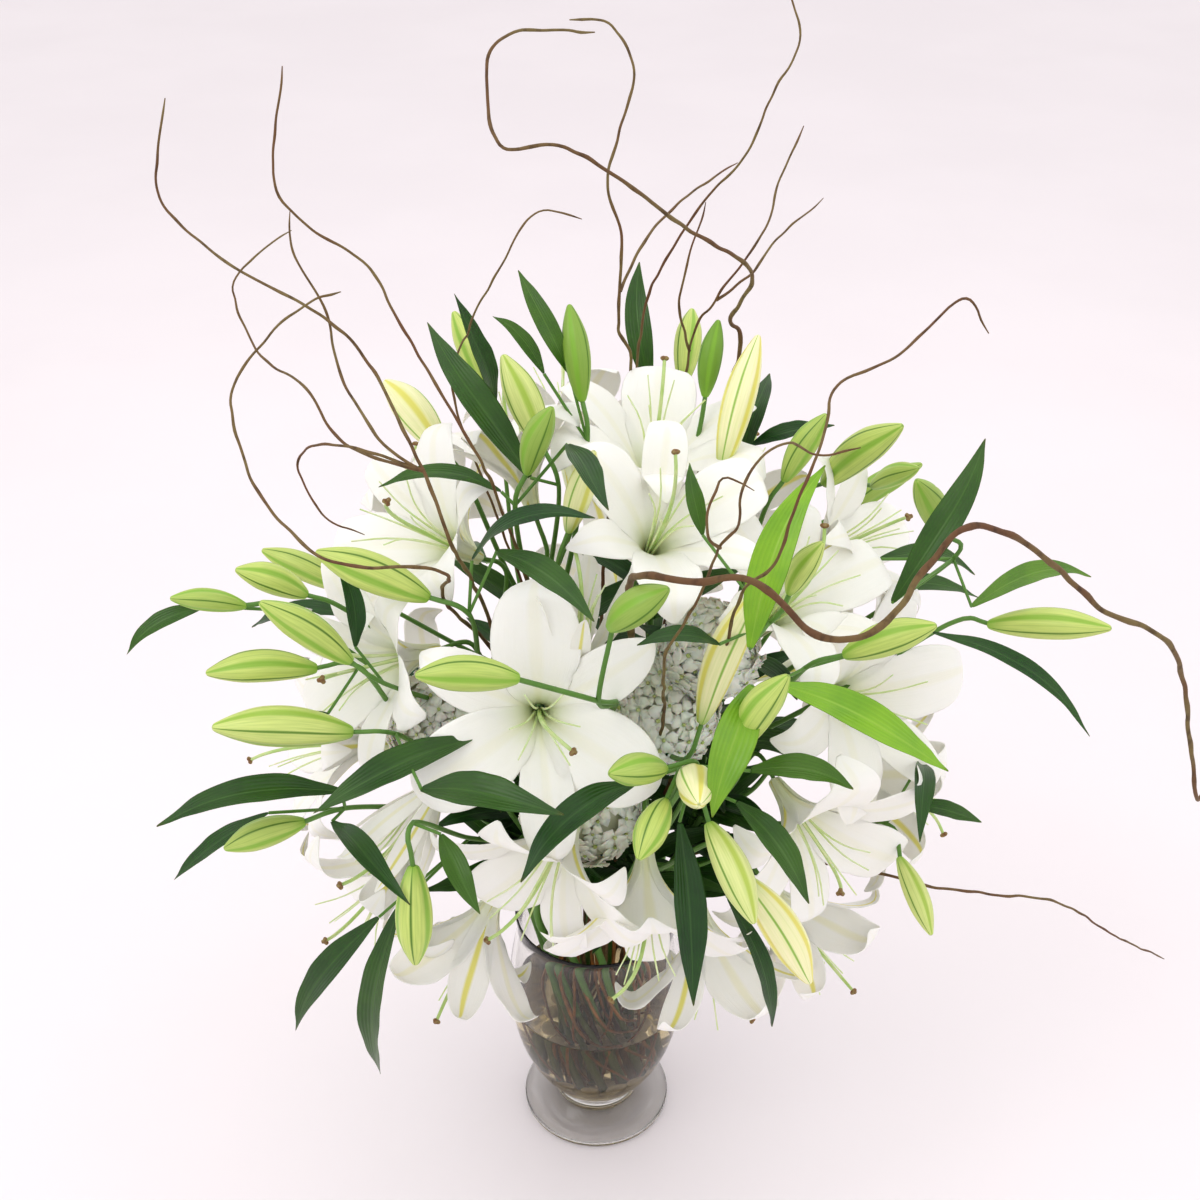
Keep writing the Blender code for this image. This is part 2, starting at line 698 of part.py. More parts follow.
def stalk_ends(lily):
    """Where each flower and bud of a stem is held, and the way it points there."""
    ends = []
    for throat, facing, _, _ in lily["blooms"]:
        axis = Vector(facing).normalized()
        ends.append((cm(throat) - axis * (BLOOM_DEPTH + GAP), axis))
    for base, tip, _ in lily["buds"]:
        axis = (cm(tip) - cm(base)).normalized()
        ends.append((cm(base) + axis * 0.004, axis))
    return ends


def neck_order(root, start, tip):
    """Sorts the places a leaf can grow from: first those behind it, then by distance."""
    neck = start - root
    folded = neck.dot(tip - start) < 0.5 * neck.length * (tip - start).length
    return folded, neck.length


def make_lily_stem(key, lily, line, mat, trees):
    """A stem with the stalks, buds and leaves on it; each finds room between the rest."""
    joints = line[4:-1]
    pieces = [stem_tube(line)]
    for i, (end, axis) in enumerate(stalk_ends(lily)):
        fork = line[-1].lerp(line[-2], 0.1 * i)
        route, stalk = first_clear(stalk_routes(fork, end, axis), stalk_tube, trees)
        joints += route[1:-1]
        pieces.append(stalk)
    for base, tip, radius in lily["buds"]:
        tips = turned_tips(cm(base), cm(tip), (1.0, 0.9), BUD_SWINGS)
        pieces.append(first_clear(tips, lambda end: bud(cm(base), end, radius * CM), trees)[1])
    for start, tip, width in lily["leaves"]:
        joints.sort(key=lambda point: neck_order(point, cm(start), cm(tip)))
        tips = turned_tips(cm(start), cm(tip), (1.0, 0.85, 0.7, 0.55), LEAF_SWINGS)
        poses = [(root, end) for root in joints[:4] for end in tips]
        pieces.append(first_clear(poses, lambda pose: leaf(*pose, cm(start), width * CM), trees)[1])
    return united(pieces, f"lily_stem_{key}", mat)


def make_blooms(mat, trees):
    """The flowers, each turned about its axis, and drawn in where needed, to miss the rest."""
    fits = []
    for smaller in (1.0, 0.93, 0.86, 0.79, 0.72, 0.65, 0.58, 0.5):
        for roll in range(0, 60, 12):
            fits.append((smaller, math.radians(roll)))
    flowers = [flower for lily in LILIES.values() for flower in lily["blooms"]]
    for number, flower in enumerate(flowers, 1):
        cup = first_clear(fits, lambda fit: bloom(*flower, *fit), trees)[1]
        trees.append(tree_of(to_object(cup, f"lily_bloom_{number:02d}", mat)))


def willow_tube(route, thick, thin):
    return tube(route, tapered(thick, thin, len(route)), WILLOW_SIDES)


def make_willow(mat, trees):
    """The branches; returns the ways they need through the water."""
    holes = []
    for key, branch in WILLOW.items():
        cut, neck = spiral_points(WILLOW_RING, willow_slot(key), len(WILLOW), math.radians(12))
        thick, thin = (radius * 0.001 for radius in branch["radii"])
        low, middle, *rest = [cm(point) for point in branch["route"]]
        lines = []
        for push in pushes((0.01, 0.02, 0.03, 0.04)):
            lines.append(smooth_route([cut, neck, low + push, middle + push / 2] + rest, 0.04))
        line, wood = first_clear(lines, lambda route: willow_tube(route, thick, thin), trees)
        pieces = [wood]
        holes.append(hole(line, tapered(thick, thin, len(line)), WILLOW_SIDES))
        for twig in branch["twigs"]:
            fine = smooth_route([cm(point) for point in twig], 0.04)
            pieces.append(willow_tube(fine, thin * 1.5, thin))
        trees.append(tree_of(united(pieces, f"willow_branch_{key}", mat)))
    return holes


def willow_slot(key):
    """Branches stand in the ring in the order of the side to which they lean."""
    def bearing(name):
        x, y, _ = WILLOW[name]["route"][0]
        return math.atan2(y, x) % math.tau
    return sorted(WILLOW, key=bearing).index(key)


def hydrangea_head(centre, radius, seed):
    rng = random.Random(seed)
    bm = bmesh.new()
    bmesh.ops.create_uvsphere(bm, u_segments=10, v_segments=7, radius=radius)
    for vert in bm.verts:
        vert.co *= 1.0 + rng.uniform(-0.05, 0.05)
    bmesh.ops.translate(bm, vec=centre, verts=bm.verts)
    return bm


def hydrangea_stem(line):
    return tube(line, [HYDRANGEA_STEM_RADIUS] * len(line), HYDRANGEA_STEM_SIDES)


def make_hydrangeas(mat, trees):
    """Heads that fill the gaps between the lilies, each where it has room, on a stem of its own."""
    holes = []
    for i, (key, (centre, radius)) in enumerate(HYDRANGEAS.items()):
        spots = []
        for smaller in (1.0, 0.85, 0.7):
            for push in pushes((0.01, 0.02, 0.03)):
                spots.append((cm(centre) + push, radius * CM * smaller))
        spot, head = first_clear(spots, lambda pair: hydrangea_head(*pair, i), trees)
        cut, neck = spiral_points(HYDRANGEA_RING, i, len(HYDRANGEAS), math.radians(200))
        leaving = neck + (neck - cut).normalized() * 0.04
        lines = []
        for push in pushes((0.01, 0.02, 0.03, 0.04, 0.05)):
            above = smooth_route([neck, leaving, leaving.lerp(spot[0], 0.5) + push, spot[0]], 0.06)
            lines.append([cut] + above)
        line, stem = first_clear(lines, hydrangea_stem, trees)
        trees.append(tree_of(united([stem, head], f"hydrangea_{key}", mat)))
        holes.append(hole(line, [HYDRANGEA_STEM_RADIUS] * len(line), HYDRANGEA_STEM_SIDES))
    return holes


def main():
    clear_scene()
    glass = material("clear_glass", (0.92, 0.95, 0.94), 0.03)
    water = material("clear_water", (0.80, 0.86, 0.82), 0.02)
    pebble = material("pale_stone", (0.62, 0.55, 0.47), 0.6)
    green = material("lily_green", (0.09, 0.22, 0.06), 0.45)
    petal = material("white_petal", (0.90, 0.89, 0.86), 0.45)
    bark = material("willow_bark", (0.20, 0.12, 0.05), 0.6)
    floret = material("hydrangea_white", (0.82, 0.84, 0.72), 0.6)
    trees = [tree_of(make_vase(glass))]
    make_pebbles(pebble)
    make_blooms(petal, trees)
    lines = {}
    stem_trees = {}
    for key, lily in LILIES.items():
        lines[key], stem = main_stem(lily, trees + list(stem_trees.values()))
        stem_trees[key] = BVHTree.FromBMesh(stem)
    standing = trees + list(stem_trees.values())
    holes = make_willow(bark, standing) + make_hydrangeas(floret, standing)
    for key, lily in LILIES.items():
        standing.remove(stem_trees[key])
        standing.append(tree_of(make_lily_stem(key, lily, lines[key], green, standing)))
        line = lines[key]
        holes.append(hole(line, tapered(STEM_RADIUS, STEM_RADIUS * STEM_TAPER, len(line)), STEM_SIDES))
    make_water(water, holes)


main()
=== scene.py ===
# White lilies, curly willow and hydrangea in a footed glass vase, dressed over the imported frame.
# Metres, z up; the side that is seen first is -y. Layout lists are in centimetres, as on a sketch.
import math
import random

import bpy
from mathutils import Matrix, Vector


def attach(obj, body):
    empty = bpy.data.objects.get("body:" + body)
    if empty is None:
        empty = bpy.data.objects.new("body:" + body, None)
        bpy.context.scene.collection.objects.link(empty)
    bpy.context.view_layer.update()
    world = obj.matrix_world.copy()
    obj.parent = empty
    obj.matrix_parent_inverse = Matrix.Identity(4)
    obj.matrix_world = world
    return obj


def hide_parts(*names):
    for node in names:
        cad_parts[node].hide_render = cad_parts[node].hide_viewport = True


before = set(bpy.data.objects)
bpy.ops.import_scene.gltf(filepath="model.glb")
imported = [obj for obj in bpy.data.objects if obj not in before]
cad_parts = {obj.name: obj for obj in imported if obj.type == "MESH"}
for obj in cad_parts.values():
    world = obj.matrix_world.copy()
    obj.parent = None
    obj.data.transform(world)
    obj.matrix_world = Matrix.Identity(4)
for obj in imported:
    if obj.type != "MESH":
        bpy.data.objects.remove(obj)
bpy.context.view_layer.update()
print("frame loaded:", len(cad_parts), "nodes")


def cm(point):
    return Vector(point) * 0.01


def lerp(a, b, t):
    return a + (b - a) * t


def anyWay(chance):
    return Vector((chance.uniform(-1, 1), chance.uniform(-1, 1), chance.uniform(-1, 1)))


# small helpers for working on one object at a time
def activate(obj):
    if bpy.context.mode != "OBJECT":
        bpy.ops.object.mode_set(mode="OBJECT")
    bpy.ops.object.select_all(action="DESELECT")
    obj.select_set(True)
    bpy.context.view_layer.objects.active = obj
    return obj


def pick(obj, test):
    # selects the vertices that pass the test and stays in edit mode
    bpy.ops.object.mode_set(mode="EDIT")
    bpy.ops.mesh.select_mode(type="VERT")
    bpy.ops.mesh.select_all(action="DESELECT")
    bpy.ops.object.mode_set(mode="OBJECT")
    for vert in obj.data.vertices:
        vert.select = test(vert.co)
    bpy.ops.object.mode_set(mode="EDIT")


def settle(obj):
    # puts the object's place, turn and size into its mesh
    activate(obj)
    bpy.ops.object.transform_apply(location=True, rotation=True, scale=True)
    return obj


def fresh(primitive, **values):
    # a new primitive that alone is selected, with its place in its mesh
    bpy.ops.object.select_all(action="DESELECT")
    primitive(**values)
    return settle(bpy.context.object)


def applyModifier(obj, kind, **values):
    bpy.context.view_layer.objects.active = obj
    modifier = obj.modifiers.new(kind.title(), kind)
    for key, value in values.items():
        setattr(modifier, key, value)
    bpy.ops.object.modifier_apply(modifier=modifier.name)


def copyOf(obj, matrix=None):
    # a copy with a mesh of its own
    twin = obj.copy()
    twin.data = obj.data.copy()
    bpy.context.scene.collection.objects.link(twin)
    if matrix:
        twin.data.transform(matrix)
    return twin


def joinAs(name, parts):
    activate(parts[0])
    for part in parts:
        part.select_set(True)
    if len(parts) > 1:
        bpy.ops.object.join()
    joined = bpy.context.view_layer.objects.active
    joined.name = name
    joined.data.name = name
    return joined


def finishPiece(obj, slotName, *nodes):
    activate(obj)
    bpy.ops.object.shade_smooth()
    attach(obj, "root")
    if nodes:
        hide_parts(*nodes)
    return obj


def removeAll(objs):
    for obj in objs:
        bpy.data.objects.remove(obj)


def smoothRoute(points, step):
    # points about every step metres on a smooth line through the given ones
    ends = [2 * points[0] - points[1]] + list(points) + [2 * points[-1] - points[-2]]
    route = []
    for a, b, c, d in zip(ends, ends[1:], ends[2:], ends[3:]):
        count = max(1, round((c - b).length / step))
        for i in range(count):
            t = i / count
            route.append(0.5 * (2 * b + (c - a) * t + (2 * a - 5 * b + 4 * c - d) * t ** 2
                                + (3 * b - a - 3 * c + d) * t ** 3))
    return route + [points[-1].copy()]


curveSteps = {"stem": 3, "bend": 10}


def pathCurve(points, radii=None, sides=2):
    # an open curve through the points; with radii it becomes a round stem
    bpy.ops.curve.primitive_bezier_curve_add()
    curve = bpy.context.object
    spline = curve.data.splines[0]
    spline.bezier_points.add(len(points) - 2)
    for i, (knot, place) in enumerate(zip(spline.bezier_points, points)):
        knot.co = place
        knot.handle_left_type = "AUTO"
        knot.handle_right_type = "AUTO"
        knot.radius = radii[i] if radii else 1.0
    curve.data.twist_mode = "MINIMUM"
    curve.data.resolution_u = curveSteps["stem" if radii else "bend"]
    if radii:
        curve.data.bevel_depth = 1.0
        curve.data.bevel_resolution = sides
        curve.data.use_fill_caps = True
    return curve


def stemAlong(points, radii, skin, sides=2):
    curve = pathCurve(points, radii, sides)
    bpy.ops.object.convert(target="MESH")
    stem = bpy.context.object
    stem.data.materials.clear()
    stem.data.materials.append(skin)
    return stem


def bendAlong(obj, points):
    # bends a piece that lies along +x so that it follows the points
    curve = pathCurve(points)
    length = curve.data.splines[0].calc_length()
    activate(obj)
    obj.data.transform(Matrix.Diagonal((length, 1, 1, 1)))
    applyModifier(obj, "CURVE", object=curve, deform_axis="POS_X")
    bpy.data.objects.remove(curve)
    return obj


# node helpers
def newMaterial(name, **values):
    mat = bpy.data.materials.new(name)
    mat.use_nodes = True
    shader = mat.node_tree.nodes["Principled BSDF"]
    for key, value in values.items():
        setSocket(shader.inputs[socketNames[key]], value)
    return mat, shader


socketNames = {
    "colour": "Base Color", "rough": "Roughness", "specular": "Specular IOR Level", "ior": "IOR",
    "see": "Transmission Weight", "under": "Subsurface Weight", "underScale": "Subsurface Scale",
    "underRadius": "Subsurface Radius", "sheen": "Sheen Weight",
}


def setSocket(socket, value):
    if hasattr(value, "is_output"):
        socket.id_data.links.new(value, socket)
    elif isinstance(value, tuple) and socket.type == "RGBA":
        socket.default_value = (*value, 1.0)
    else:
        socket.default_value = value


def node(mat, kind, settings=None, **inputs):
    made = mat.node_tree.nodes.new("ShaderNode" + kind)
    for key, value in (settings or {}).items():
        setattr(made, key, value)
    for key, value in inputs.items():
        socket = made.inputs[int(key[1:])] if key[0] == "i" and key[1:].isdigit() else made.inputs[key]
        setSocket(socket, value)
    return made


def math2(mat, operation, a, b=0.0):
    return node(mat, "Math", {"operation": operation}, i0=a, i1=b).outputs[0]


def awayFromHalf(mat, value, times):
    return math2(mat, "MULTIPLY", math2(mat, "ABSOLUTE", math2(mat, "SUBTRACT", value, 0.5)), times)


def ramp(mat, value, low, high, fromValue=0.0, toValue=1.0):
    # soft step of a value between low and high
    made = node(mat, "MapRange", {"interpolation_type": "SMOOTHSTEP"}, i0=value, i1=low, i2=high,
                i3=fromValue, i4=toValue)
    return made.outputs[0]


def blendColour(mat, factor, a, b):
    made = node(mat, "Mix", {"data_type": "RGBA"})
    setSocket(made.inputs[0], factor)
    setSocket(made.inputs[6], a)
    setSocket(made.inputs[7], b)
    return made.outputs[2]


def noiseOn(mat, vector, scale, detail=3.0, stretch=(1, 1, 1)):
    spread = node(mat, "Mapping", None, Vector=vector, Scale=stretch)
    made = node(mat, "TexNoise", None, Vector=spread.outputs[0], Scale=scale, Detail=detail)
    return made.outputs[0]


def bumpFrom(mat, shader, height, strength, distance):
    made = node(mat, "Bump", None, Height=height, Strength=strength, Distance=distance)
    mat.node_tree.links.new(made.outputs[0], shader.inputs["Normal"])


def objectPoint(mat):
    return node(mat, "TexCoord").outputs["Object"]


def uvParts(mat):
    # (along the piece, across it) from its UV map
    spread = node(mat, "SeparateXYZ", None, Vector=node(mat, "TexCoord").outputs["UV"])
    return spread.outputs[0], spread.outputs[1]
# layout of the bouquet (cm). blooms: throat, facing, radius, opening 0 to 1, roll in degrees
# buds: base, tip, radius, ripeness (0 green to 2 cream); leaves: start, tip, width, lightness 0 to 1
lilies = {
    "01": {
        "slot": 2, "fork": (5, 2, 66),
        "blooms": [((5, -1, 80), (1, -1, 10), 9.0, 1.0, 0)],
        "buds": [((9, 2, 82), (10, 4, 88), 1.0, 0.1), ((10, -5, 79), (13, 1, 88), 1.35, 2.0)],
        "leaves": [((12, 1, 76), (15, 9, 81), 2.2, 0), ((13, 3, 77), (20, 3, 79), 1.8, 0)],
    },
    "02": {
        "slot": 3, "fork": (-5, -3, 66),
        "blooms": [((-7, 1, 79), (-3, 4, 9), 7.5, 1.0, 10)],
        "buds": [
            ((-4, -7, 82), (-7, -5, 89), 1.4, 1.3), ((-5, -13, 83), (-3, -14, 89), 1.1, 0.4),
            ((-1, -3, 84), (-2, 0, 91), 1.1, 0.3), ((-12, -4, 80), (-17, 1, 84), 1.5, 1.8),
            ((-2, -13, 78), (0, -13, 85), 1.1, 1.7),
        ],
        "leaves": [
            ((-5, -8, 80), (-13, -1, 90), 2.6, 0), ((-2, -2, 86), (-6, 2, 93), 1.7, 0.15),
            ((-4, -2, 86), (-8, 0, 90), 1.3, 0.1), ((-2, -12, 85), (1, -20, 84), 2.2, 0),
            ((-7, -12, 81), (-16, -13, 82), 1.6, 0),
        ],
    },
    "03": {
        "slot": 0, "fork": (12, -3, 60),
        "blooms": [((16, -12, 72), (4, -4, 8), 8.0, 1.0, 20), ((22, -2, 71), (8, -2, 6), 8.0, 0.9, 0)],
        "buds": [
            ((15, -5, 78), (18, -5, 84), 1.1, 0.6), ((19, 0, 75), (24, -5, 83), 1.5, 0.8),
            ((24, 5, 72), (27, 1, 76), 1.0, 0.6), ((27, -10, 76), (24, -12, 82), 1.2, 0.5),
        ],
        "leaves": [
            ((22, -18, 75), (29, -11, 85), 2.4, 0), ((23, -7, 72), (32, -3, 68), 2.0, 0),
            ((29, -14, 72), (40, -8, 71), 2.0, 0.35),
        ],
    },
    "04": {
        "slot": 9, "fork": (4, -6, 60),
        "blooms": [((5.4, -12, 78.5), (2, -5, 8), 8.0, 0.9, 40), ((-1, -18, 73), (1, -1, 10), 5.0, 0.2, 0)],
        "buds": [((14, -20, 77), (16, -21, 82), 1.0, 1.2), ((8, -21, 66), (12, -19, 77), 1.4, 1.9)],
        "leaves": [
            ((11, -24, 75), (16, -19, 87), 2.8, 1), ((9, -22, 74), (3, -25, 76), 1.6, 0),
            ((8, -15, 79), (7, -13, 84), 1.4, 0.1),
        ],
    },
    "05": {
        "slot": 5, "fork": (-9, -8, 60),
        "blooms": [((-14, -9, 76), (-6, -4, 6), 8.0, 1.0, 15), ((-18, -15, 67), (-7, -6, 2), 8.5, 1.0, 30)],
        "buds": [
            ((-12, -19, 76), (-20, -19, 80), 1.5, 0.9), ((-18, -20, 71), (-24, -21, 77), 1.3, 0.8),
            ((-22, -14, 73), (-27, -15, 76), 1.2, 1.0), ((-26, -17, 74), (-31, -19, 76), 0.9, 0.6),
        ],
        "leaves": [
            ((-9, -17, 78), (0, -21, 84), 1.8, 0), ((-7, -19, 80), (0, -28, 80), 2.2, 0.1),
            ((-29, -17, 74), (-35, -19, 71), 1.5, 0.1), ((-18, -18, 71), (-19, -17, 78), 1.6, 0),
        ],
    },
    "06": {
        "slot": 6, "fork": (-12, -8, 52),
        "blooms": [((-24, -7, 53), (-9, -3, 2), 8.0, 1.0, 0)],
        "buds": [
            ((-21, -18, 69), (-29, -20, 70), 1.3, 1.0), ((-18, -22, 66), (-28, -24, 68), 1.6, 1.2),
            ((-22, -24, 59), (-28, -26, 58), 1.2, 0.7),
        ],
        "leaves": [
            ((-19, -24, 62), (-32, -28, 62), 2.6, 0), ((-25, -23, 59), (-33, -24, 53), 1.6, 0),
            ((-20, -21, 67), (-27, -22, 66), 1.5, 0), ((-20, -24, 59), (-13, -34, 60), 2.0, 0),
            ((-12, -31, 68), (-2, -36, 70), 2.8, 0.05),
        ],
    },
    "07": {
        "slot": 8, "fork": (-2, -10, 56),
        "blooms": [((-4, -23, 68), (1, -17, 10), 9.5, 1.0, 0)],
        "buds": [((1, -26, 78), (5, -27, 82), 1.3, 0.4), ((-5, -29, 76), (-12, -30, 77), 1.3, 0.7)],
        "leaves": [((-9, -24, 67), (-20, -30, 65), 2.6, 0)],
        "via": [(1.5, -19.5, 66.5), (0.3, -25.5, 71.5)],
    },
    "08": {
        "slot": 12, "fork": (11, -8, 54),
        "blooms": [((22, -13, 62), (5, -8, 4), 9.0, 1.0, 30)],
        "buds": [
            ((31, -12, 69), (39, -17, 72), 1.3, 1.1), ((18, -22, 73), (24, -24, 77), 1.3, 0.8),
            ((10, -29, 70), (13, -30, 77), 1.3, 0.8),
        ],
        "leaves": [
            ((13, -24, 72), (25, -29, 68), 2.8, 0.9), ((11, -27, 74), (8, -34, 68), 3.0, 0.75),
            ((25, -19, 73), (36, -25, 68), 1.4, 0),
        ],
    },
    "09": {
        "slot": 11, "fork": (10, -7, 46),
        "blooms": [((18, -20, 53), (4, -8, -2), 9.0, 1.0, 0), ((26, -8, 49), (9, 0, -3), 8.5, 1.0, 30)],
        "buds": [((25, -18, 50), (27, -24, 47), 1.0, 1.3)],
        "leaves": [((27, -13, 56), (25, -24, 57), 1.8, 0), ((26, -15, 53), (32, -16, 52), 1.7, 0)],
    },
    "10": {
        "slot": 10, "fork": (4, -11, 44),
        "blooms": [
            ((4, -26, 50), (0, -8, -6), 8.5, 0.9, 0), ((10, -18, 37), (2, -4, -9), 8.5, 0.8, 30),
            ((19, -13, 36), (6, -3, -7), 8.0, 0.8, 10),
        ],
        "buds": [
            ((5, -31, 67), (3, -36, 66), 1.2, 0.8), ((5, -30, 69), (1, -33, 71), 1.2, 0.6),
            ((7, -27, 66), (7, -35, 70), 1.4, 2.2), ((8, -31, 65), (11, -37, 61), 1.3, 1.4),
            ((11, -29, 58), (16, -33, 51), 1.5, 2.0),
        ],
        "leaves": [
            ((3, -29, 67), (-5, -36, 64), 2.4, 0), ((6, -31, 65), (7, -38, 54), 2.4, 0),
            ((10, -28, 55), (14, -30, 43), 1.8, 0), ((10, -30, 66), (15, -35, 61), 2.2, 0.05),
            ((11, -29, 68), (18, -31, 68), 2.2, 0.2),
        ],
    },
    "11": {
        "slot": 7, "fork": (-6, -10, 46),
        "blooms": [
            ((-4, -26, 55), (-4, -8, -4), 9.0, 1.0, 10), ((-11, -18, 39), (-4, -3, -8), 8.5, 0.7, 0),
            ((-15, -22, 56), (-6, -4, -7), 5.0, 0.2, 0), ((-19, -15, 43), (-6, -6, -5), 7.5, 1.0, 20),
        ],
        "buds": [((-13, -31, 61), (-13, -34, 54), 1.4, 0.9)],
        "leaves": [
            ((-17, -25, 50), (-25, -25, 37), 2.4, 0), ((-15, -27, 53), (-18, -27, 34), 2.8, 0.05),
            ((-11, -30, 63), (-8, -35, 60), 1.8, 0.15),
        ],
    },
    "12": {
        "slot": 4, "fork": (-6, 7, 54),
        "blooms": [
            ((-15, 12, 66), (-6, 7, 4), 8.5, 1.0, 0), ((-3, 19, 72), (-1, 7, 7), 8.5, 1.0, 25),
            ((-18, 10, 46), (-8, 6, -2), 8.5, 0.9, 40),
        ],
        "buds": [((-10, 16, 76), (-13, 20, 82), 1.3, 1.0), ((-22, 4, 62), (-30, 6, 65), 1.3, 0.8)],
        "leaves": [
            ((-9, 13, 76), (-12, 12, 87), 2.4, 0), ((-22, 6, 58), (-33, 10, 54), 2.2, 0),
            ((-11, 20, 55), (-14, 31, 50), 2.4, 0),
        ],
    },
    "13": {
        "slot": 1, "fork": (7, 7, 52),
        "blooms": [
            ((13, 14, 66), (5, 8, 4), 8.5, 1.0, 0), ((3, 20, 53), (1, 10, -1), 9.0, 1.0, 35),
            ((21, 8, 52), (9, 5, 0), 8.0, 0.9, 15),
        ],
        "buds": [((8, 17, 76), (9, 23, 81), 1.3, 0.9), ((22, 10, 66), (30, 13, 70), 1.2, 0.5)],
        "leaves": [
            ((5, 16, 76), (4, 22, 86), 2.4, 0), ((14, 17, 58), (20, 28, 58), 2.4, 0),
            ((24, 6, 60), (36, 9, 58), 2.0, 0),
        ],
    },
}


# curly willow: radius (mm) at the neck and the tip, the way from above the neck to the tip, side twigs
willows = {
    "01": {
        "radii": (2.4, 0.8),
        "route": [(-5, -6, 45), (-8, -14, 70), (-10, -20, 81), (-12, -18, 86), (-16, -13, 92),
                  (-19, -12, 95), (-24, -10, 97), (-28, -8, 99), (-31, -6, 102), (-30, -4, 108)],
        "twigs": [
            [(-12, -18, 86), (-15, -17, 88), (-18, -13, 91), (-19, -11, 95), (-21, -10, 99),
             (-21, -10, 102)],
            [(-12, -18, 86), (-18, -14, 86), (-21, -11, 89), (-25, -7, 90), (-27, -4, 94),
             (-25, -2, 96), (-23, 0, 97)],
            [(-12, -18, 86), (-16, -17, 87), (-20, -14, 86), (-22, -12, 83), (-20, -14, 80),
             (-17, -15, 79)],
        ],
    },
    "02": {
        "radii": (2.0, 0.8),
        "route": [(-5, -3, 45), (-5, -7, 66), (-7, -14, 81), (-9, -15, 87), (-13, -12, 93),
                  (-16, -10, 98), (-20, -10, 101), (-22, -9, 104), (-21, -7, 111)],
        "twigs": [],
    },
    "03": {
        "radii": (2.2, 0.8),
        "route": [(-6, -8, 42), (-7, -10, 62), (-11, -18, 75), (-10, -24, 81), (-12, -26, 83),
                  (-18, -25, 83), (-23, -21, 86), (-25, -17, 91), (-23, -14, 94), (-20, -12, 96),
                  (-18, -10, 96)],
        "twigs": [],
    },
    "04": {
        "radii": (1.8, 0.7),
        "route": [(-2, 3, 45), (-8, 6, 66), (-12, 6, 80), (-10, 3, 88), (-7, 2, 94), (-5, 3, 97),
                  (-3, 4, 97), (-1, 5, 96)],
        "twigs": [],
    },
    "05": {
        "radii": (3.0, 0.9),
        "route": [(5, 4, 45), (8, 6, 68), (12, 6, 84), (11, 4, 88), (12, -1, 94), (7, -6, 99),
                  (2, -10, 104), (-2, -12, 107), (-6, -12, 107), (-7, -10, 109), (-7, -8, 112),
                  (-5, -6, 113), (0, -2, 112)],
        "twigs": [],
    },
    "06": {
        "radii": (2.5, 0.9),
        "route": [(0, 5, 45), (1, 8, 66), (3, 7, 82), (2, 6, 86), (2, 5, 90), (2, 5, 95), (1, 5, 99),
                  (2, 6, 103), (3, 7, 107), (1, 9, 110), (-2, 10, 110)],
        "twigs": [[(2, 5, 90), (4, 8, 93), (7, 12, 95), (12, 16, 97)]],
    },
    "07": {
        "radii": (2.0, 0.8),
        "route": [(2, 7, 45), (3, 10, 66), (4, 12, 84), (6, 12, 90), (9, 12, 95), (12, 11, 99),
                  (14, 11, 104), (16, 12, 108), (15, 14, 112)],
        "twigs": [],
    },
    "08": {
        "radii": (2.0, 0.8),
        "route": [(5, 6, 45), (7, 9, 66), (8, 9, 83), (10, 8, 88), (14, 9, 94), (15, 11, 97),
                  (17, 13, 101)],
        "twigs": [
            [(10, 8, 88), (13, 9, 90), (15, 11, 92), (19, 13, 95)],
            [(8, 9, 83), (7, 8, 88), (8, 8, 93), (9, 9, 96)],
        ],
    },
    "09": {
        "radii": (2.0, 0.8),
        "route": [(6, -5, 45), (9, -15, 62), (10, -24, 79), (12, -27, 84), (13, -27, 88),
                  (15, -24, 92), (16, -21, 94), (20, -19, 95), (23, -17, 97), (25, -16, 98),
                  (27, -15, 95)],
        "twigs": [],
    },
    "10": {
        "radii": (3.4, 1.6),
        "route": [(3, -7, 45), (3, -14, 66), (2.5, -21, 78), (3.2, -27, 83), (7, -31, 85), (9, -32, 86),
                  (11, -32, 85), (14, -34, 83), (17, -34, 83), (19, -33, 84), (21, -31, 86),
                  (24, -29, 88), (29, -27, 85), (35, -25, 79), (40, -24, 76), (43, -22, 71),
                  (45, -21, 65), (47, -20, 59), (48, -19, 57), (49, -18, 58)],
        "twigs": [],
    },
    "11": {
        "radii": (1.8, 0.8),
        "route": [(8, -5, 38), (15, -10, 43), (23, -14, 45), (28, -16, 45), (34, -15, 43),
                  (41, -13, 40), (48, -10, 33), (55, -6, 26)],
        "twigs": [],
    },
    "12": {
        "radii": (2.2, 0.7),
        "route": [(2, -9, 42), (5, -18, 62), (5, -24, 72), (5, -26, 76), (7, -28, 82), (8, -30, 87),
                  (9, -31, 89), (9, -31, 91), (10, -30, 93), (12, -29, 94), (14, -27, 92),
                  (17, -26, 92)],
        "twigs": [[(8, -30, 87), (7, -31, 89), (8, -30, 92), (10, -30, 91)]],
    },
}

# hydrangea heads between the lilies: centre, radius
hydrangeas = {
    "01": ((5, -14, 62), 3.8),
    "02": ((-12, -13, 60), 3.8),
    "03": ((-1, -17, 55), 4.0),
    "04": ((9, -14, 68), 3.0),
}


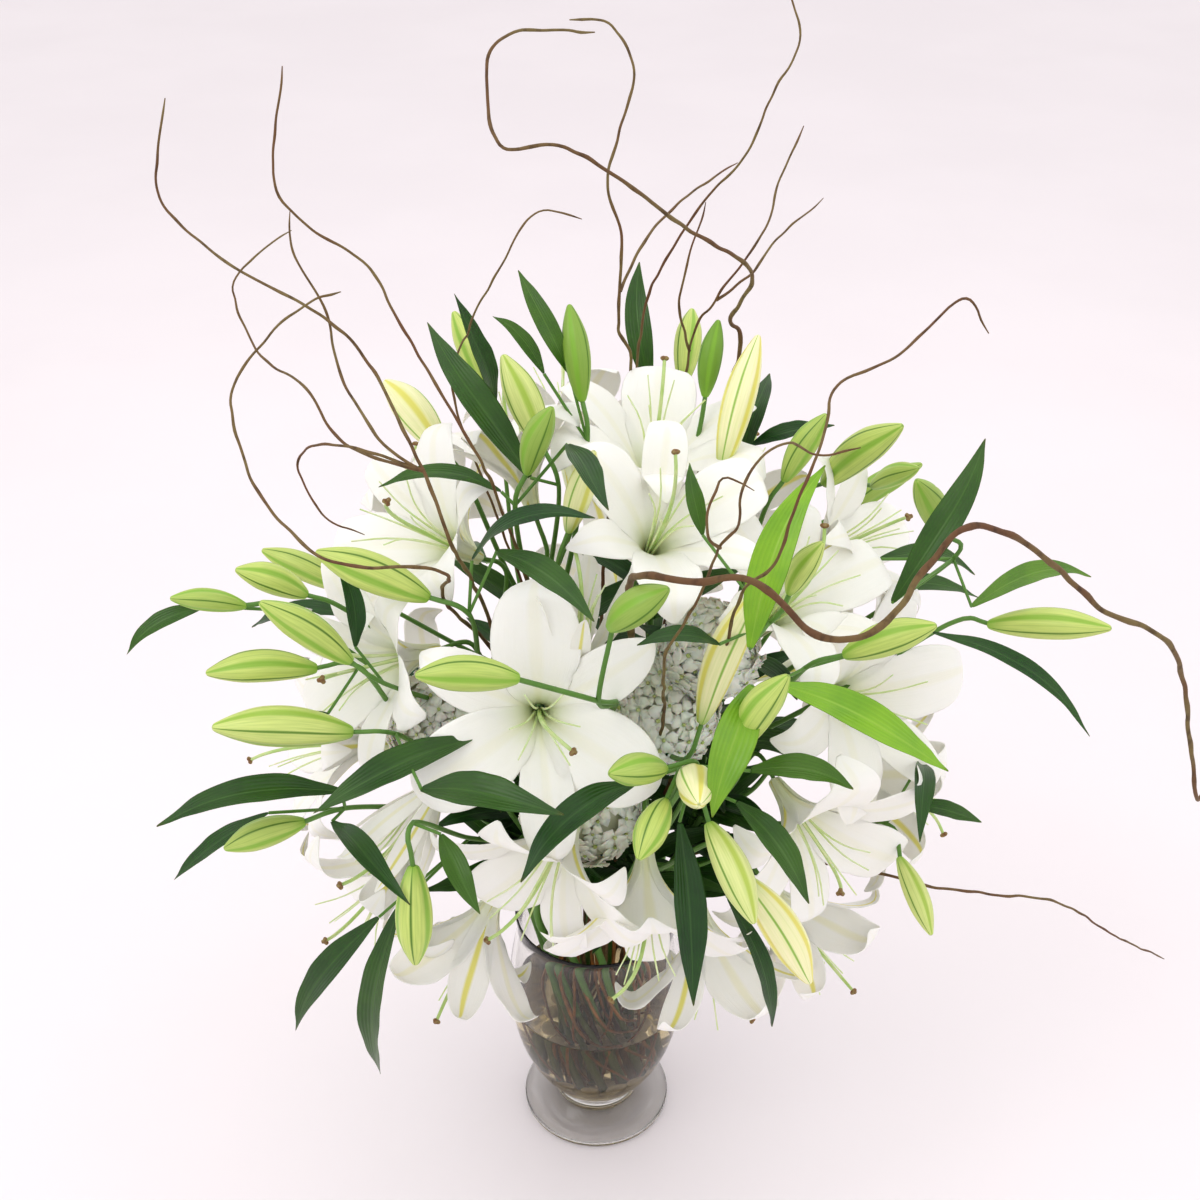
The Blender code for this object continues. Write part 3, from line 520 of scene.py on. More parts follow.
# finishes
def petalFinish(name, ribStrength, throatStrength):
    # waxy white, greener down in the throat, with a yellow-green rib where one shows
    look = {
        "white": (0.97, 0.955, 0.905), "vein": (0.88, 0.88, 0.81),
        "throat": (0.86, 0.93, 0.50), "rib": (0.80, 0.74, 0.16),
    }
    mat, shader = newMaterial(name, rough=0.42, specular=0.35, under=0.2, underScale=0.010,
                              underRadius=(1.0, 0.8, 0.6), sheen=0.05)
    along, across = uvParts(mat)
    fromMiddle = awayFromHalf(mat, across, 2.0)
    veins = noiseOn(mat, node(mat, "TexCoord").outputs["UV"], 4.0, 2.0, (0.6, 14.0, 1.0))
    throat = math2(mat, "MULTIPLY", ramp(mat, along, 0.06, 0.42, 1.0, 0.0), throatStrength)
    colour = blendColour(mat, ramp(mat, veins, 0.35, 0.7, 0.0, 0.12), look["white"], look["vein"])
    colour = blendColour(mat, throat, colour, look["throat"])
    rib = math2(mat, "MULTIPLY", ramp(mat, fromMiddle, 0.07, 0.24, 1.0, 0.0),
                ramp(mat, along, 0.9, 1.0, ribStrength, 0.0))
    colour = blendColour(mat, rib, colour, look["rib"])
    setSocket(shader.inputs["Base Color"], colour)
    bumpFrom(mat, shader, veins, 0.25, 0.0012)
    return mat


def budFinish():
    look = {
        "green": (0.18, 0.34, 0.045), "yellow": (0.60, 0.70, 0.21), "cream": (0.90, 0.87, 0.55),
        "greenRib": (0.24, 0.46, 0.05), "creamRib": (0.74, 0.68, 0.10), "seam": (0.08, 0.19, 0.02),
    }
    mat, shader = newMaterial("waxyBud", rough=0.40, specular=0.4, under=0.12, underScale=0.006,
                              underRadius=(0.6, 0.9, 0.3))
    around, along = uvParts(mat)
    ripe = node(mat, "Attribute", {"attribute_name": "ripeness"}).outputs["Fac"]
    third = math2(mat, "FRACT", math2(mat, "MULTIPLY", around, 3.0))
    fromRib = awayFromHalf(mat, third, 2.0)
    young = ramp(mat, ripe, 0.0, 1.0)
    old = ramp(mat, ripe, 1.0, 2.0)
    streaks = noiseOn(mat, node(mat, "TexCoord").outputs["UV"], 5.0, 3.0, (12.0, 0.8, 1.0))
    skin = blendColour(mat, old, blendColour(mat, young, look["green"], look["yellow"]), look["cream"])
    skin = blendColour(mat, ramp(mat, streaks, 0.3, 0.75, 0.0, 0.35), skin,
                       blendColour(mat, old, look["green"], look["yellow"]))
    ribColour = blendColour(mat, old, look["greenRib"], look["creamRib"])
    skin = blendColour(mat, ramp(mat, fromRib, 0.08, 0.30, 0.8, 0.0), skin, ribColour)
    # a darker line along each groove: the seam's own colour, deepened with painted shade in the crease
    skin = blendColour(mat, ramp(mat, fromRib, 0.90, 0.98, 0.0, 0.9), skin,
                       blendColour(mat, old, look["seam"], look["greenRib"]))
    skin = blendColour(mat, ramp(mat, along, 0.04, 0.34, 0.75, 0.0), skin, look["greenRib"])
    skin = blendColour(mat, ramp(mat, along, 0.95, 1.0, 0.0, 0.6), skin, look["seam"])
    setSocket(shader.inputs["Base Color"], skin)
    bumpFrom(mat, shader, streaks, 0.2, 0.0006)
    return mat


def leafFinish():
    look = {
        "dark": (0.019, 0.068, 0.012), "light": (0.26, 0.48, 0.035), "deep": (0.010, 0.040, 0.012),
        "lightDeep": (0.17, 0.36, 0.03), "keel": (0.05, 0.13, 0.03), "lightKeel": (0.36, 0.56, 0.08),
        "dryTip": (0.16, 0.12, 0.03),
    }
    mat, shader = newMaterial("lilyLeaf", rough=0.36, specular=0.45, under=0.05, underScale=0.003,
                              underRadius=(0.4, 1.0, 0.2))
    along, across = uvParts(mat)
    lightness = node(mat, "Attribute", {"attribute_name": "lightness"}).outputs["Fac"]
    blotches = noiseOn(mat, objectPoint(mat), 28.0, 4.0)
    lines = math2(mat, "SINE", math2(mat, "MULTIPLY", across, 56.0))
    fromMiddle = math2(mat, "ABSOLUTE", math2(mat, "SUBTRACT", across, 0.5))
    green = blendColour(mat, lightness, look["dark"], look["light"])
    shaded = blendColour(mat, lightness, look["deep"], look["lightDeep"])
    colour = blendColour(mat, ramp(mat, blotches, 0.35, 0.7, 0.0, 0.8), green, shaded)
    colour = blendColour(mat, ramp(mat, lines, 0.4, 1.0, 0.0, 0.25), colour, shaded)
    colour = blendColour(mat, ramp(mat, fromMiddle, 0.0, 0.05, 0.5, 0.0), colour,
                         blendColour(mat, lightness, look["keel"], look["lightKeel"]))
    colour = blendColour(mat, ramp(mat, along, 0.94, 1.0, 0.0, 0.4), colour, look["dryTip"])
    setSocket(shader.inputs["Base Color"], colour)
    bumpFrom(mat, shader, lines, 0.22, 0.0005)
    return mat


def stemFinish():
    look = {"green": (0.085, 0.215, 0.040), "pale": (0.18, 0.36, 0.08), "vaseShade": (0.060, 0.080, 0.022)}
    mat, shader = newMaterial("lilyStem", rough=0.45, specular=0.4)
    point = objectPoint(mat)
    height = node(mat, "SeparateXYZ", None, Vector=point).outputs[2]
    streaks = noiseOn(mat, point, 60.0, 3.0, (1.0, 1.0, 0.12))
    colour = blendColour(mat, streaks, look["green"], look["pale"])
    # painted shade inside the vase: the stems darken from its neck down towards its bottom
    colour = blendColour(mat, ramp(mat, height, 0.10, 0.26, 0.75, 0.15), colour, look["vaseShade"])
    setSocket(shader.inputs["Base Color"], colour)
    bumpFrom(mat, shader, streaks, 0.3, 0.0008)
    return mat


def barkFinish():
    look = {"brown": (0.150, 0.070, 0.032), "dark": (0.055, 0.028, 0.013), "olive": (0.195, 0.145, 0.058)}
    mat, shader = newMaterial("willowBark", rough=0.5, specular=0.35)
    point = objectPoint(mat)
    patches = noiseOn(mat, point, 14.0, 4.0)
    grain = noiseOn(mat, point, 160.0, 4.0, (1.0, 1.0, 0.5))
    colour = blendColour(mat, ramp(mat, patches, 0.35, 0.65), look["brown"], look["olive"])
    colour = blendColour(mat, ramp(mat, grain, 0.45, 0.75, 0.0, 0.7), colour, look["dark"])
    setSocket(shader.inputs["Base Color"], colour)
    bumpFrom(mat, shader, grain, 0.35, 0.0008)
    return mat


def softFinish(name, base, other, scale, rough, under=0.1):
    # one colour that drifts into another in small patches
    mat, shader = newMaterial(name, rough=rough, specular=0.35, under=under, underScale=0.004)
    patches = noiseOn(mat, objectPoint(mat), scale, 4.0)
    setSocket(shader.inputs["Base Color"], blendColour(mat, ramp(mat, patches, 0.35, 0.68), base, other))
    bumpFrom(mat, shader, patches, 0.25, 0.0008)
    return mat


def clearFinish(name, tint, ior, rough, ripple):
    mat, shader = newMaterial(name, colour=tint, see=1.0, ior=ior, rough=rough, specular=0.22)
    waves = noiseOn(mat, objectPoint(mat), ripple["scale"], 2.0)
    bumpFrom(mat, shader, waves, ripple["strength"], ripple["distance"])
    return mat


finish = {
    "petalInside": petalFinish("petalInside", 0.10, 0.72),
    "petalOutside": petalFinish("petalOutside", 0.25, 0.6),
    "petalRibbed": petalFinish("petalRibbed", 0.95, 0.7),
    "bud": budFinish(),
    "leaf": leafFinish(),
    "stem": stemFinish(),
    "bark": barkFinish(),
    "shoot": softFinish("willowShoot", (0.36, 0.150, 0.040), (0.17, 0.080, 0.022), 60.0, 0.45, 0.0),
    "filament": softFinish("filamentGreen", (0.62, 0.76, 0.36), (0.74, 0.82, 0.55), 60.0, 0.4),
    "pistil": softFinish("pistilGreen", (0.42, 0.60, 0.20), (0.58, 0.70, 0.34), 50.0, 0.4),
    "stigma": softFinish("stigmaBrown", (0.20, 0.10, 0.045), (0.30, 0.24, 0.10), 300.0, 0.6),
    "floret": softFinish("floretWhite", (0.97, 0.96, 0.91), (0.92, 0.93, 0.82), 40.0, 0.55, 0.2),
    "floretEye": softFinish("floretEye", (0.45, 0.55, 0.20), (0.60, 0.66, 0.35), 200.0, 0.5),
    "core": softFinish("hydrangeaCore", (0.86, 0.88, 0.72), (0.74, 0.78, 0.58), 60.0, 0.8, 0.0),
    "pebble": softFinish("palePebble", (0.96, 0.91, 0.82), (0.74, 0.66, 0.56), 45.0, 0.35, 0.0),
    "glass": clearFinish("clearGlass", (0.985, 0.985, 0.965), 1.46, 0.0,
                         {"scale": 26.0, "strength": 0.05, "distance": 0.001}),
    "water": clearFinish("clearWater", (0.64, 0.54, 0.31), 1.33, 0.0,
                         {"scale": 14.0, "strength": 0.04, "distance": 0.001}),
}
print("finishes made:", len(finish))


# vase, water and pebbles
vase = {
    "segments": 48,
    "outside": [
        (0.012, 0.0035), (0.058, 0.0030), (0.0665, 0.0), (0.0735, 0.0), (0.0770, 0.0025), (0.0775, 0.0065),
        (0.0755, 0.0100), (0.0715, 0.0105), (0.0660, 0.0088), (0.058, 0.0112), (0.050, 0.0160),
        (0.0425, 0.022), (0.0430, 0.029), (0.052, 0.042), (0.064, 0.060),
        (0.0755, 0.084), (0.084, 0.112), (0.0885, 0.145), (0.0895, 0.178), (0.086, 0.212), (0.080, 0.238),
        (0.0785, 0.252), (0.0815, 0.2712),
    ],
    "inside": [
        (0.0800, 0.2722), (0.0783, 0.2708), (0.0745, 0.252), (0.076, 0.238), (0.082, 0.212), (0.0855, 0.178),
        (0.0845, 0.145), (0.080, 0.112), (0.0715, 0.084), (0.060, 0.062), (0.047, 0.0485), (0.032, 0.0435),
        (0.012, 0.043),
    ],
}
waterForm = {
    "level": 0.160, "bottom": 0.0428, "overlap": 0.0006,
    "edge": 0.0852, "inner": 0.0838, "middle": 0.070, "hub": 0.012,
}


def turnedShape(name, outline, segments, smoothing):
    # a ring drawn out along z and resized from each point of the outline to the next, closed at both ends
    radius, height = outline[0]
    shape = fresh(bpy.ops.mesh.primitive_circle_add, vertices=segments, radius=radius, location=(0, 0, height))
    bpy.ops.object.mode_set(mode="EDIT")
    bpy.ops.mesh.select_all(action="SELECT")
    bpy.ops.mesh.edge_face_add()
    bpy.ops.mesh.select_all(action="DESELECT")
    bpy.ops.object.mode_set(mode="OBJECT")
    pick(shape, lambda co: True)
    bpy.ops.mesh.delete(type="ONLY_FACE")
    bpy.ops.mesh.select_all(action="SELECT")
    for newRadius, newHeight in outline[1:]:
        bpy.ops.mesh.extrude_region_move(TRANSFORM_OT_translate={"value": (0, 0, newHeight - height)})
        factor = newRadius / radius
        bpy.ops.transform.resize(value=(factor, factor, 1), center_override=(0, 0, newHeight))
        radius, height = newRadius, newHeight
    bpy.ops.mesh.edge_face_add()
    firstRadius, firstHeight = outline[0]
    pick(shape, lambda co: co.xy.length < firstRadius * 1.01 and abs(co.z - firstHeight) < 0.0001)
    bpy.ops.mesh.edge_face_add()
    bpy.ops.mesh.select_all(action="SELECT")
    bpy.ops.mesh.normals_make_consistent(inside=False)
    bpy.ops.object.mode_set(mode="OBJECT")
    applyModifier(shape, "SUBSURF", levels=smoothing, render_levels=smoothing)
    shape.name = name
    return shape


vaseGlass = turnedShape("vaseGlass", vase["outside"] + vase["inside"], vase["segments"], 2)
vaseGlass.data.materials.append(finish["glass"])
finishPiece(vaseGlass, "clear_glass", "vase")

level, edge = waterForm["level"], waterForm["edge"]
wetWall = [(r + waterForm["overlap"], z) for r, z in vase["inside"][:2:-1] if z < level]
waterOutline = [(waterForm["hub"], waterForm["bottom"])] + wetWall[1:]
# the surface climbs a little where it meets the glass
waterOutline += [(edge, level - 0.001), (edge, level + 0.0004), (waterForm["inner"], level)]
waterOutline += [(waterForm["middle"], level - 0.0002), (waterForm["hub"], level)]
vaseWater = turnedShape("vaseWater", waterOutline, vase["segments"], 1)
vaseWater.data.materials.append(finish["water"])
finishPiece(vaseWater, "clear_water", "water")

pebbleBed = {
    "rings": [(0.0, 1, 0.0515), (0.021, 7, 0.0525), (0.0385, 12, 0.0575), (0.013, 3, 0.0625),
              (0.031, 7, 0.0655), (0.047, 14, 0.0685), (0.051, 15, 0.0775)],
    "size": 0.0115, "sizes": (0.78, 1.1), "long": 0.84, "flat": 0.45, "uneven": 0.10, "drift": 0.12,
    "tilt": 0.3, "seed": 4,
}


def pebbleStart():
    # an uneven flattened stone
    stone = fresh(bpy.ops.mesh.primitive_ico_sphere_add, subdivisions=2, radius=1.0)
    bpy.ops.object.mode_set(mode="EDIT")
    bpy.ops.mesh.select_all(action="SELECT")
    bpy.ops.transform.vertex_random(offset=pebbleBed["uneven"], seed=3)
    bpy.ops.transform.resize(value=(1.0, pebbleBed["long"], pebbleBed["flat"]), center_override=(0, 0, 0))
    bpy.ops.object.mode_set(mode="OBJECT")
    applyModifier(stone, "SUBSURF", levels=1, render_levels=1)
    stone.data.materials.append(finish["pebble"])
    return stone


stone = pebbleStart()
chance = random.Random(pebbleBed["seed"])
pebbleCount = 0
drift, tilt = pebbleBed["drift"], pebbleBed["tilt"]
for ringRadius, count, height in pebbleBed["rings"]:
    for i in range(count):
        angle = math.tau * (i + chance.uniform(-drift, drift)) / count
        place = Matrix.Translation((ringRadius * math.cos(angle), ringRadius * math.sin(angle), height))
        turn = Matrix.Rotation(chance.uniform(0, math.tau), 4, "Z")
        turn = turn @ Matrix.Rotation(chance.uniform(-tilt, tilt), 4, "X")
        size = Matrix.Scale(pebbleBed["size"] * chance.uniform(*pebbleBed["sizes"]), 4)
        pebbleCount += 1
        pebble = copyOf(stone, place @ turn @ size)
        pebble.name = f"pebble{pebbleCount:02d}"
        finishPiece(pebble, "pale_stone", *(["pebbles"] if pebbleCount == 1 else []))
removeAll([stone])
print("vase, water and", pebbleCount, "pebbles made")


# lily petals: two kinds, three broad inner ones over three narrow outer ones
tepal = {
    "columns": 8,
    "thick": 0.020,
    "broad": (0.14, 0.19, 0.26, 0.36, 0.50, 0.66, 0.81, 0.92, 0.99, 1.0, 0.95, 0.83, 0.64, 0.38, 0.05),
    "narrow": (0.18, 0.24, 0.32, 0.42, 0.54, 0.67, 0.79, 0.89, 0.97, 1.0, 0.96, 0.85, 0.66, 0.40, 0.05),
    "edgeLift": (0.19, 0.19, 0.18, 0.17, 0.15, 0.13, 0.11, 0.08, 0.05, 0.01, -0.03, -0.06, -0.08, -0.06, 0.0),
    "groove": 0.016, "ruffle": 0.055, "ruffleFrom": 4,
}


def flatTepal(widths, back, seed, ruffle):
    # a sheet along +x from 0 to 1, its inner face up; rows are narrowed, edges lifted and ruffled
    chance = random.Random(seed)
    rows = len(widths) - 1
    edge = tepal["columns"] // 2
    sheet = fresh(bpy.ops.mesh.primitive_grid_add, x_subdivisions=rows, y_subdivisions=tepal["columns"], size=1,
                  location=(0.5, 0, 0))
    for row, (width, lift) in enumerate(zip(widths, tepal["edgeLift"])):
        x = row / rows
        for column in range(-edge, edge + 1):
            y = column / tepal["columns"]
            rise = lift * width * (2 * y) ** 2
            if column == 0:
                rise -= tepal["groove"] * min(1.0, 4 * x) * (1 - x)
            if abs(column) == edge and tepal["ruffleFrom"] < row < rows:
                rise += chance.uniform(-ruffle, ruffle) * width
            pick(sheet, lambda co: abs(co.x - x) < 0.01 and abs(co.y - y) < 0.01)
            bpy.ops.transform.translate(value=(0, 0, rise))
    for row, width in enumerate(widths):
        x = row / rows
        pick(sheet, lambda co: abs(co.x - x) < 0.01)
        bpy.ops.transform.resize(value=(1, width, 1), center_override=(x, 0, 0))
    bpy.ops.object.mode_set(mode="OBJECT")
    sheet.data.materials.append(finish["petalInside"])
    sheet.data.materials.append(back)
    applyModifier(sheet, "SOLIDIFY", thickness=tepal["thick"], offset=-1.0, material_offset=1)
    return sheet


broadTepals = [flatTepal(tepal["broad"], finish["petalOutside"], seed, tepal["ruffle"]) for seed in (1, 2, 3)]
narrowTepals = [flatTepal(tepal["narrow"], finish["petalRibbed"], seed, tepal["ruffle"] / 2) for seed in (4, 5)]
print("petals shaped")

# stigma: a small ball drawn into three lobes
stigmaStart = fresh(bpy.ops.mesh.primitive_uv_sphere_add, segments=12, ring_count=8, radius=1.0)
for lobe in range(3):
    angle = math.tau * (lobe + 0.5) / 3
    notch = Vector((math.cos(angle), math.sin(angle)))
    pick(stigmaStart, lambda co: co.xy.length > 0.1 and co.xy.normalized().dot(notch) > 0.97)
    bpy.ops.transform.resize(value=(0.45, 0.45, 0.8), center_override=(0, 0, 0))
bpy.ops.object.mode_set(mode="OBJECT")
stigmaStart.data.transform(Matrix.Diagonal((1, 1, 0.55, 1)))
applyModifier(stigmaStart, "SUBSURF", levels=1, render_levels=1)
stigmaStart.data.materials.append(finish["stigma"])

bloomForm = {
    "depth": 0.072, "broadWidth": 0.69, "narrowWidth": 0.46, "neck": 0.0045,
    "filament": (0.0011, 0.0006), "style": (0.0017, 0.0014), "stigma": 0.0040,
    # which way each style leans, in degrees from the top of its flower
    "styleTurns": {1: 0, 3: 340, 4: 70, 7: 300, 8: 300, 9: 150, 10: 232, 11: 110, 12: 45, 13: 135,
                   14: 100, 15: 70, 16: 45, 17: 120, 18: 315},
}


def bloomFrame(base, axis):
    # z along the flower's axis, x towards what is up (or back) seen from in front of it
    up = Vector((0, 0, 1)) - axis * axis.z
    if up.length < 0.45:
        up = Vector((0, 1, 0)) - axis * axis.y
    up.normalize()
    turn = Matrix((up, axis.cross(up), axis)).transposed().to_4x4()
    return Matrix.Translation(base) @ turn


def tepalLine(radius, opening, curl, inner):
    reach = 0.03 + (radius - 0.03) * (0.35 + 0.65 * opening)
    rim = bloomForm["depth"] + 0.045 - 0.030 * opening
    neck = bloomForm["neck"] * (0.8 if inner else 1.1)
    return [
        Vector((neck, 0, 0)),
        Vector((0.0085 if inner else 0.0100, 0, 0.030)),
        Vector((0.021 + 0.015 * opening, 0, 0.064 if inner else 0.061)),
        Vector((lerp(0.03, reach, 0.68), 0, lerp(0.07, rim, 0.82))),
        Vector((reach, 0, rim)),
        Vector((reach + 0.010 * opening, 0, rim - curl * 0.016 * opening + 0.006 * (1 - opening))),
    ]


def makeBloom(number, throat, facing, radius, opening, roll):
    chance = random.Random(100 + number)
    axis = Vector(facing).normalized()
    radius = radius * 0.01
    petals = []
    for i in range(6):
        inner = i % 2 == 0
        start = chance.choice(broadTepals if inner else narrowTepals)
        width = radius * bloomForm["broadWidth" if inner else "narrowWidth"] * (0.62 + 0.38 * opening)
        width *= chance.uniform(0.94, 1.06)
        mirror = chance.choice((-1, 1))
        petal = copyOf(start, Matrix.Diagonal((1, width, width, 1)))
        line = tepalLine(radius * chance.uniform(0.95, 1.04), opening, chance.uniform(0.5, 1.7), inner)
        line[-1].y += mirror * chance.uniform(0.0, 0.006)
        bendAlong(petal, line)
        petal.data.transform(Matrix.Rotation(math.radians(60 * i + roll + chance.uniform(-4, 4)), 4, "Z"))
        petals.append(petal)
    place = bloomFrame(cm(throat) - axis * bloomForm["depth"], axis)
    flower = joinAs(f"lilyPetals{number:02d}", petals)
    applyModifier(flower, "SUBSURF", levels=1, render_levels=1)
    flower.data.transform(place)
    finishPiece(flower, "white_petal", f"lily_bloom_{number:02d}")

    threads = []
    wide = 0.35 + 0.65 * opening
    for i in range(6):
        angle = math.radians(60 * i + 30 + roll + chance.uniform(-9, 9))
        out = Vector((math.cos(angle), math.sin(angle), 0))
        reach = 0.030 * wide * chance.uniform(0.75, 1.2)
        line = [out * 0.003 + Vector((0, 0, 0.02)), out * 0.007 + Vector((0, 0, 0.055)),
                out * reach * 0.55 + Vector((0, 0, 0.088)),
                out * reach + Vector((0, 0, 0.108 + chance.uniform(0, 0.008)))]
        thick = [lerp(*bloomForm["filament"], k / 3) for k in range(4)]
        threads.append(stemAlong(line, thick, finish["filament"], 1))
    filaments = joinAs(f"lilyFilaments{number:02d}", threads)
    filaments.data.transform(place)
    finishPiece(filaments, "white_petal")

    turn = math.radians(bloomForm["styleTurns"].get(number, chance.uniform(-50, 50)))
    side = Vector((math.cos(turn), math.sin(turn), 0))
    line = [Vector((0, 0, 0.012)), Vector((0, 0, 0.06)), side * 0.004 + Vector((0, 0, 0.095)),
            side * 0.016 + Vector((0, 0, 0.118)), side * 0.028 + Vector((0, 0, 0.128))]
    style = stemAlong(line, [lerp(*bloomForm["style"], k / 4) for k in range(5)], finish["pistil"], 2)
    tipTurn = Vector((0, 0, 1)).rotation_difference(line[-1] - line[-2]).to_matrix().to_4x4()
    stigma = copyOf(stigmaStart, Matrix.Translation(line[-1]) @ tipTurn @ Matrix.Scale(bloomForm["stigma"], 4))
    pistil = joinAs(f"lilyPistil{number:02d}", [style, stigma])
    pistil.data.transform(place)
    finishPiece(pistil, "white_petal")


bloomCount = 0
for lily in lilies.values():
    for bloom in lily["blooms"]:
        bloomCount += 1
        makeBloom(bloomCount, *bloom)
removeAll(broadTepals + narrowTepals + [stigmaStart])
print("blooms made:", bloomCount)


# stems stand in the vase as a hand-tied spiral
spiral = {
    "neckHeight": 0.25, "cutHeight": 0.068, "twist": math.radians(60),
    "lilyRing": (0.058, 0.037), "willowRing": (0.041, 0.025), "hydrangeaRing": (0.021, 0.012),
}
stemSize = {
    "stem": 0.0037, "upper": (0.0034, 0.0031), "stalk": 0.0024, "stalkTip": 0.0019, "leafNeck": 0.0013,
    "step": 0.012, "straight": 0.05, "bend": 0.035, "wander": 0.008, "sag": 0.006,
}


def spiralPoints(ring, slot, slots, offset=0.0):
    # where a stem stands at its cut end and at the vase's neck
    atNeck = math.tau * slot / slots + offset
    atCut = atNeck + spiral["twist"]
    cut = Vector((ring[1] * math.cos(atCut), ring[1] * math.sin(atCut), spiral["cutHeight"]))
    neck = Vector((ring[0] * math.cos(atNeck), ring[0] * math.sin(atNeck), spiral["neckHeight"]))
    return cut, neck


# buds: a ball drawn long, with three seams and three ridges
budForm = {
    "segments": 24, "rings": 16,
    "outline": ((0.0, 0.24), (0.06, 0.42), (0.18, 0.70), (0.36, 0.94), (0.54, 1.0), (0.70, 0.90), (0.84, 0.62),
                (0.94, 0.34), (1.0, 0.14)),
    "seam": 0.87, "ridge": 1.05, "sag": (0.02, 0.06),
}


def alongOutline(outline, t):
    for (a, low), (b, high) in zip(outline, outline[1:]):
        if t <= b:
            return lerp(low, high, (t - a) / (b - a))
    return outline[-1][1]


def budStart():
    ball = fresh(bpy.ops.mesh.primitive_uv_sphere_add, segments=budForm["segments"], ring_count=budForm["rings"],
                 radius=1.0)
    for ring in range(1, budForm["rings"]):
        z = -math.cos(math.pi * ring / budForm["rings"])
        factor = alongOutline(budForm["outline"], (z + 1) / 2) / math.sqrt(1 - z * z)
        pick(ball, lambda co: abs(co.z - z) < 0.002)
        bpy.ops.transform.resize(value=(factor, factor, 1), center_override=(0, 0, z))
    for third in range(3):
        for part, factor in ((0, budForm["seam"]), (0.5, budForm["ridge"])):
            angle = math.tau * (third + part) / 3
            line = Vector((math.cos(angle), math.sin(angle)))
            pick(ball, lambda co: co.xy.length > 0.05 and co.xy.normalized().dot(line) > 0.999)
            bpy.ops.transform.resize(value=(factor, factor, 1), center_override=(0, 0, 0))
    bpy.ops.object.mode_set(mode="OBJECT")
    ball.data.materials.append(finish["bud"])
    # lie it along +x, base at 0 and tip at 1
    lie = Matrix.Translation((0.5, 0, 0)) @ Matrix.Rotation(math.pi / 2, 4, "Y")
    ball.data.transform(lie @ Matrix.Diagonal((1, 1, 0.5, 1)))
    return ball


def placeAlong(start, end, up):
    # x from start to end, z on the side of up
    along = (end - start).normalized()
    side = up.cross(along).normalized()
    turn = Matrix((along, side, along.cross(side))).transposed().to_4x4()
    return Matrix.Translation(start) @ turn


def setAmount(obj, name, value):
    # one number for the whole piece, which its finish reads
    amount = obj.data.attributes.new(name, "FLOAT", "POINT")
    amount.data.foreach_set("value", [value] * len(obj.data.vertices))


def makeBud(base, tip, radius, ripeness, chance):
    length = (tip - base).length
    bud = copyOf(budShape, Matrix.Rotation(chance.uniform(0, math.tau), 4, "X"))
    bud.data.transform(Matrix.Diagonal((1, radius, radius, 1)))
    sag = length * chance.uniform(*budForm["sag"])
    bendAlong(bud, [Vector((0, 0, 0)), Vector((0.5 * length, 0, sag)), Vector((length, 0, 0))])
    bud.data.transform(placeAlong(base, tip, Vector((0.01, 0.02, 1))))
    setAmount(bud, "ripeness", ripeness)
    return bud


# leaves: a narrow sheet with a keel, bent along its own arch
leafForm = {
    "rows": 14,
    "widths": (0.16, 0.34, 0.54, 0.72, 0.86, 0.95, 1.0, 0.99, 0.94, 0.85, 0.72, 0.56, 0.38, 0.19, 0.02),
    "keel": 0.10, "thick": 0.016, "wave": 0.05, "rise": (0.07, 0.14), "sway": 0.06, "tilt": 0.3,
}


def leafStart(seed):
    chance = random.Random(seed)
    rows = leafForm["rows"]
    sheet = fresh(bpy.ops.mesh.primitive_grid_add, x_subdivisions=rows, y_subdivisions=4, size=1,
                  location=(0.5, 0, 0))
    for row, width in enumerate(leafForm["widths"]):
        x = row / rows
        for column in (-2, -1, 0, 1, 2):
            rise = leafForm["keel"] * width * abs(column)
            if abs(column) == 2:
                rise += chance.uniform(-1, 1) * leafForm["wave"]
            pick(sheet, lambda co: abs(co.x - x) < 0.01 and abs(co.y - column / 4) < 0.01)
            bpy.ops.transform.translate(value=(0, 0, rise))
        pick(sheet, lambda co: abs(co.x - x) < 0.01)
        bpy.ops.transform.resize(value=(1, width, 1), center_override=(x, 0, 0))
    bpy.ops.object.mode_set(mode="OBJECT")
    sheet.data.materials.append(finish["leaf"])
    applyModifier(sheet, "SOLIDIFY", thickness=leafForm["thick"], offset=-1.0)
    return sheet


def makeLeaf(start, tip, width, lightness, chance):
    length = (tip - start).length
    sheet = copyOf(chance.choice(leafShapes), Matrix.Diagonal((1, width, width, 1)))
    rise = length * chance.uniform(*leafForm["rise"])
    sway = length * chance.uniform(-leafForm["sway"], leafForm["sway"])
    line = [Vector((0, 0, 0)), Vector((0.35 * length, sway * 0.8, rise)),
            Vector((0.72 * length, sway, rise * 0.8)), Vector((length, 0, -rise * 0.1))]
    bendAlong(sheet, line)
    up = Vector((chance.uniform(-leafForm["tilt"], leafForm["tilt"]), -0.35, 1.0))
    sheet.data.transform(placeAlong(start, tip, up))
    setAmount(sheet, "lightness", min(1.0, lightness + chance.uniform(0.0, 0.12)))
    return sheet


underLeaves = {"count": 11, "turn": 2.4, "length": (0.08, 0.125), "width": (0.018, 0.026)}


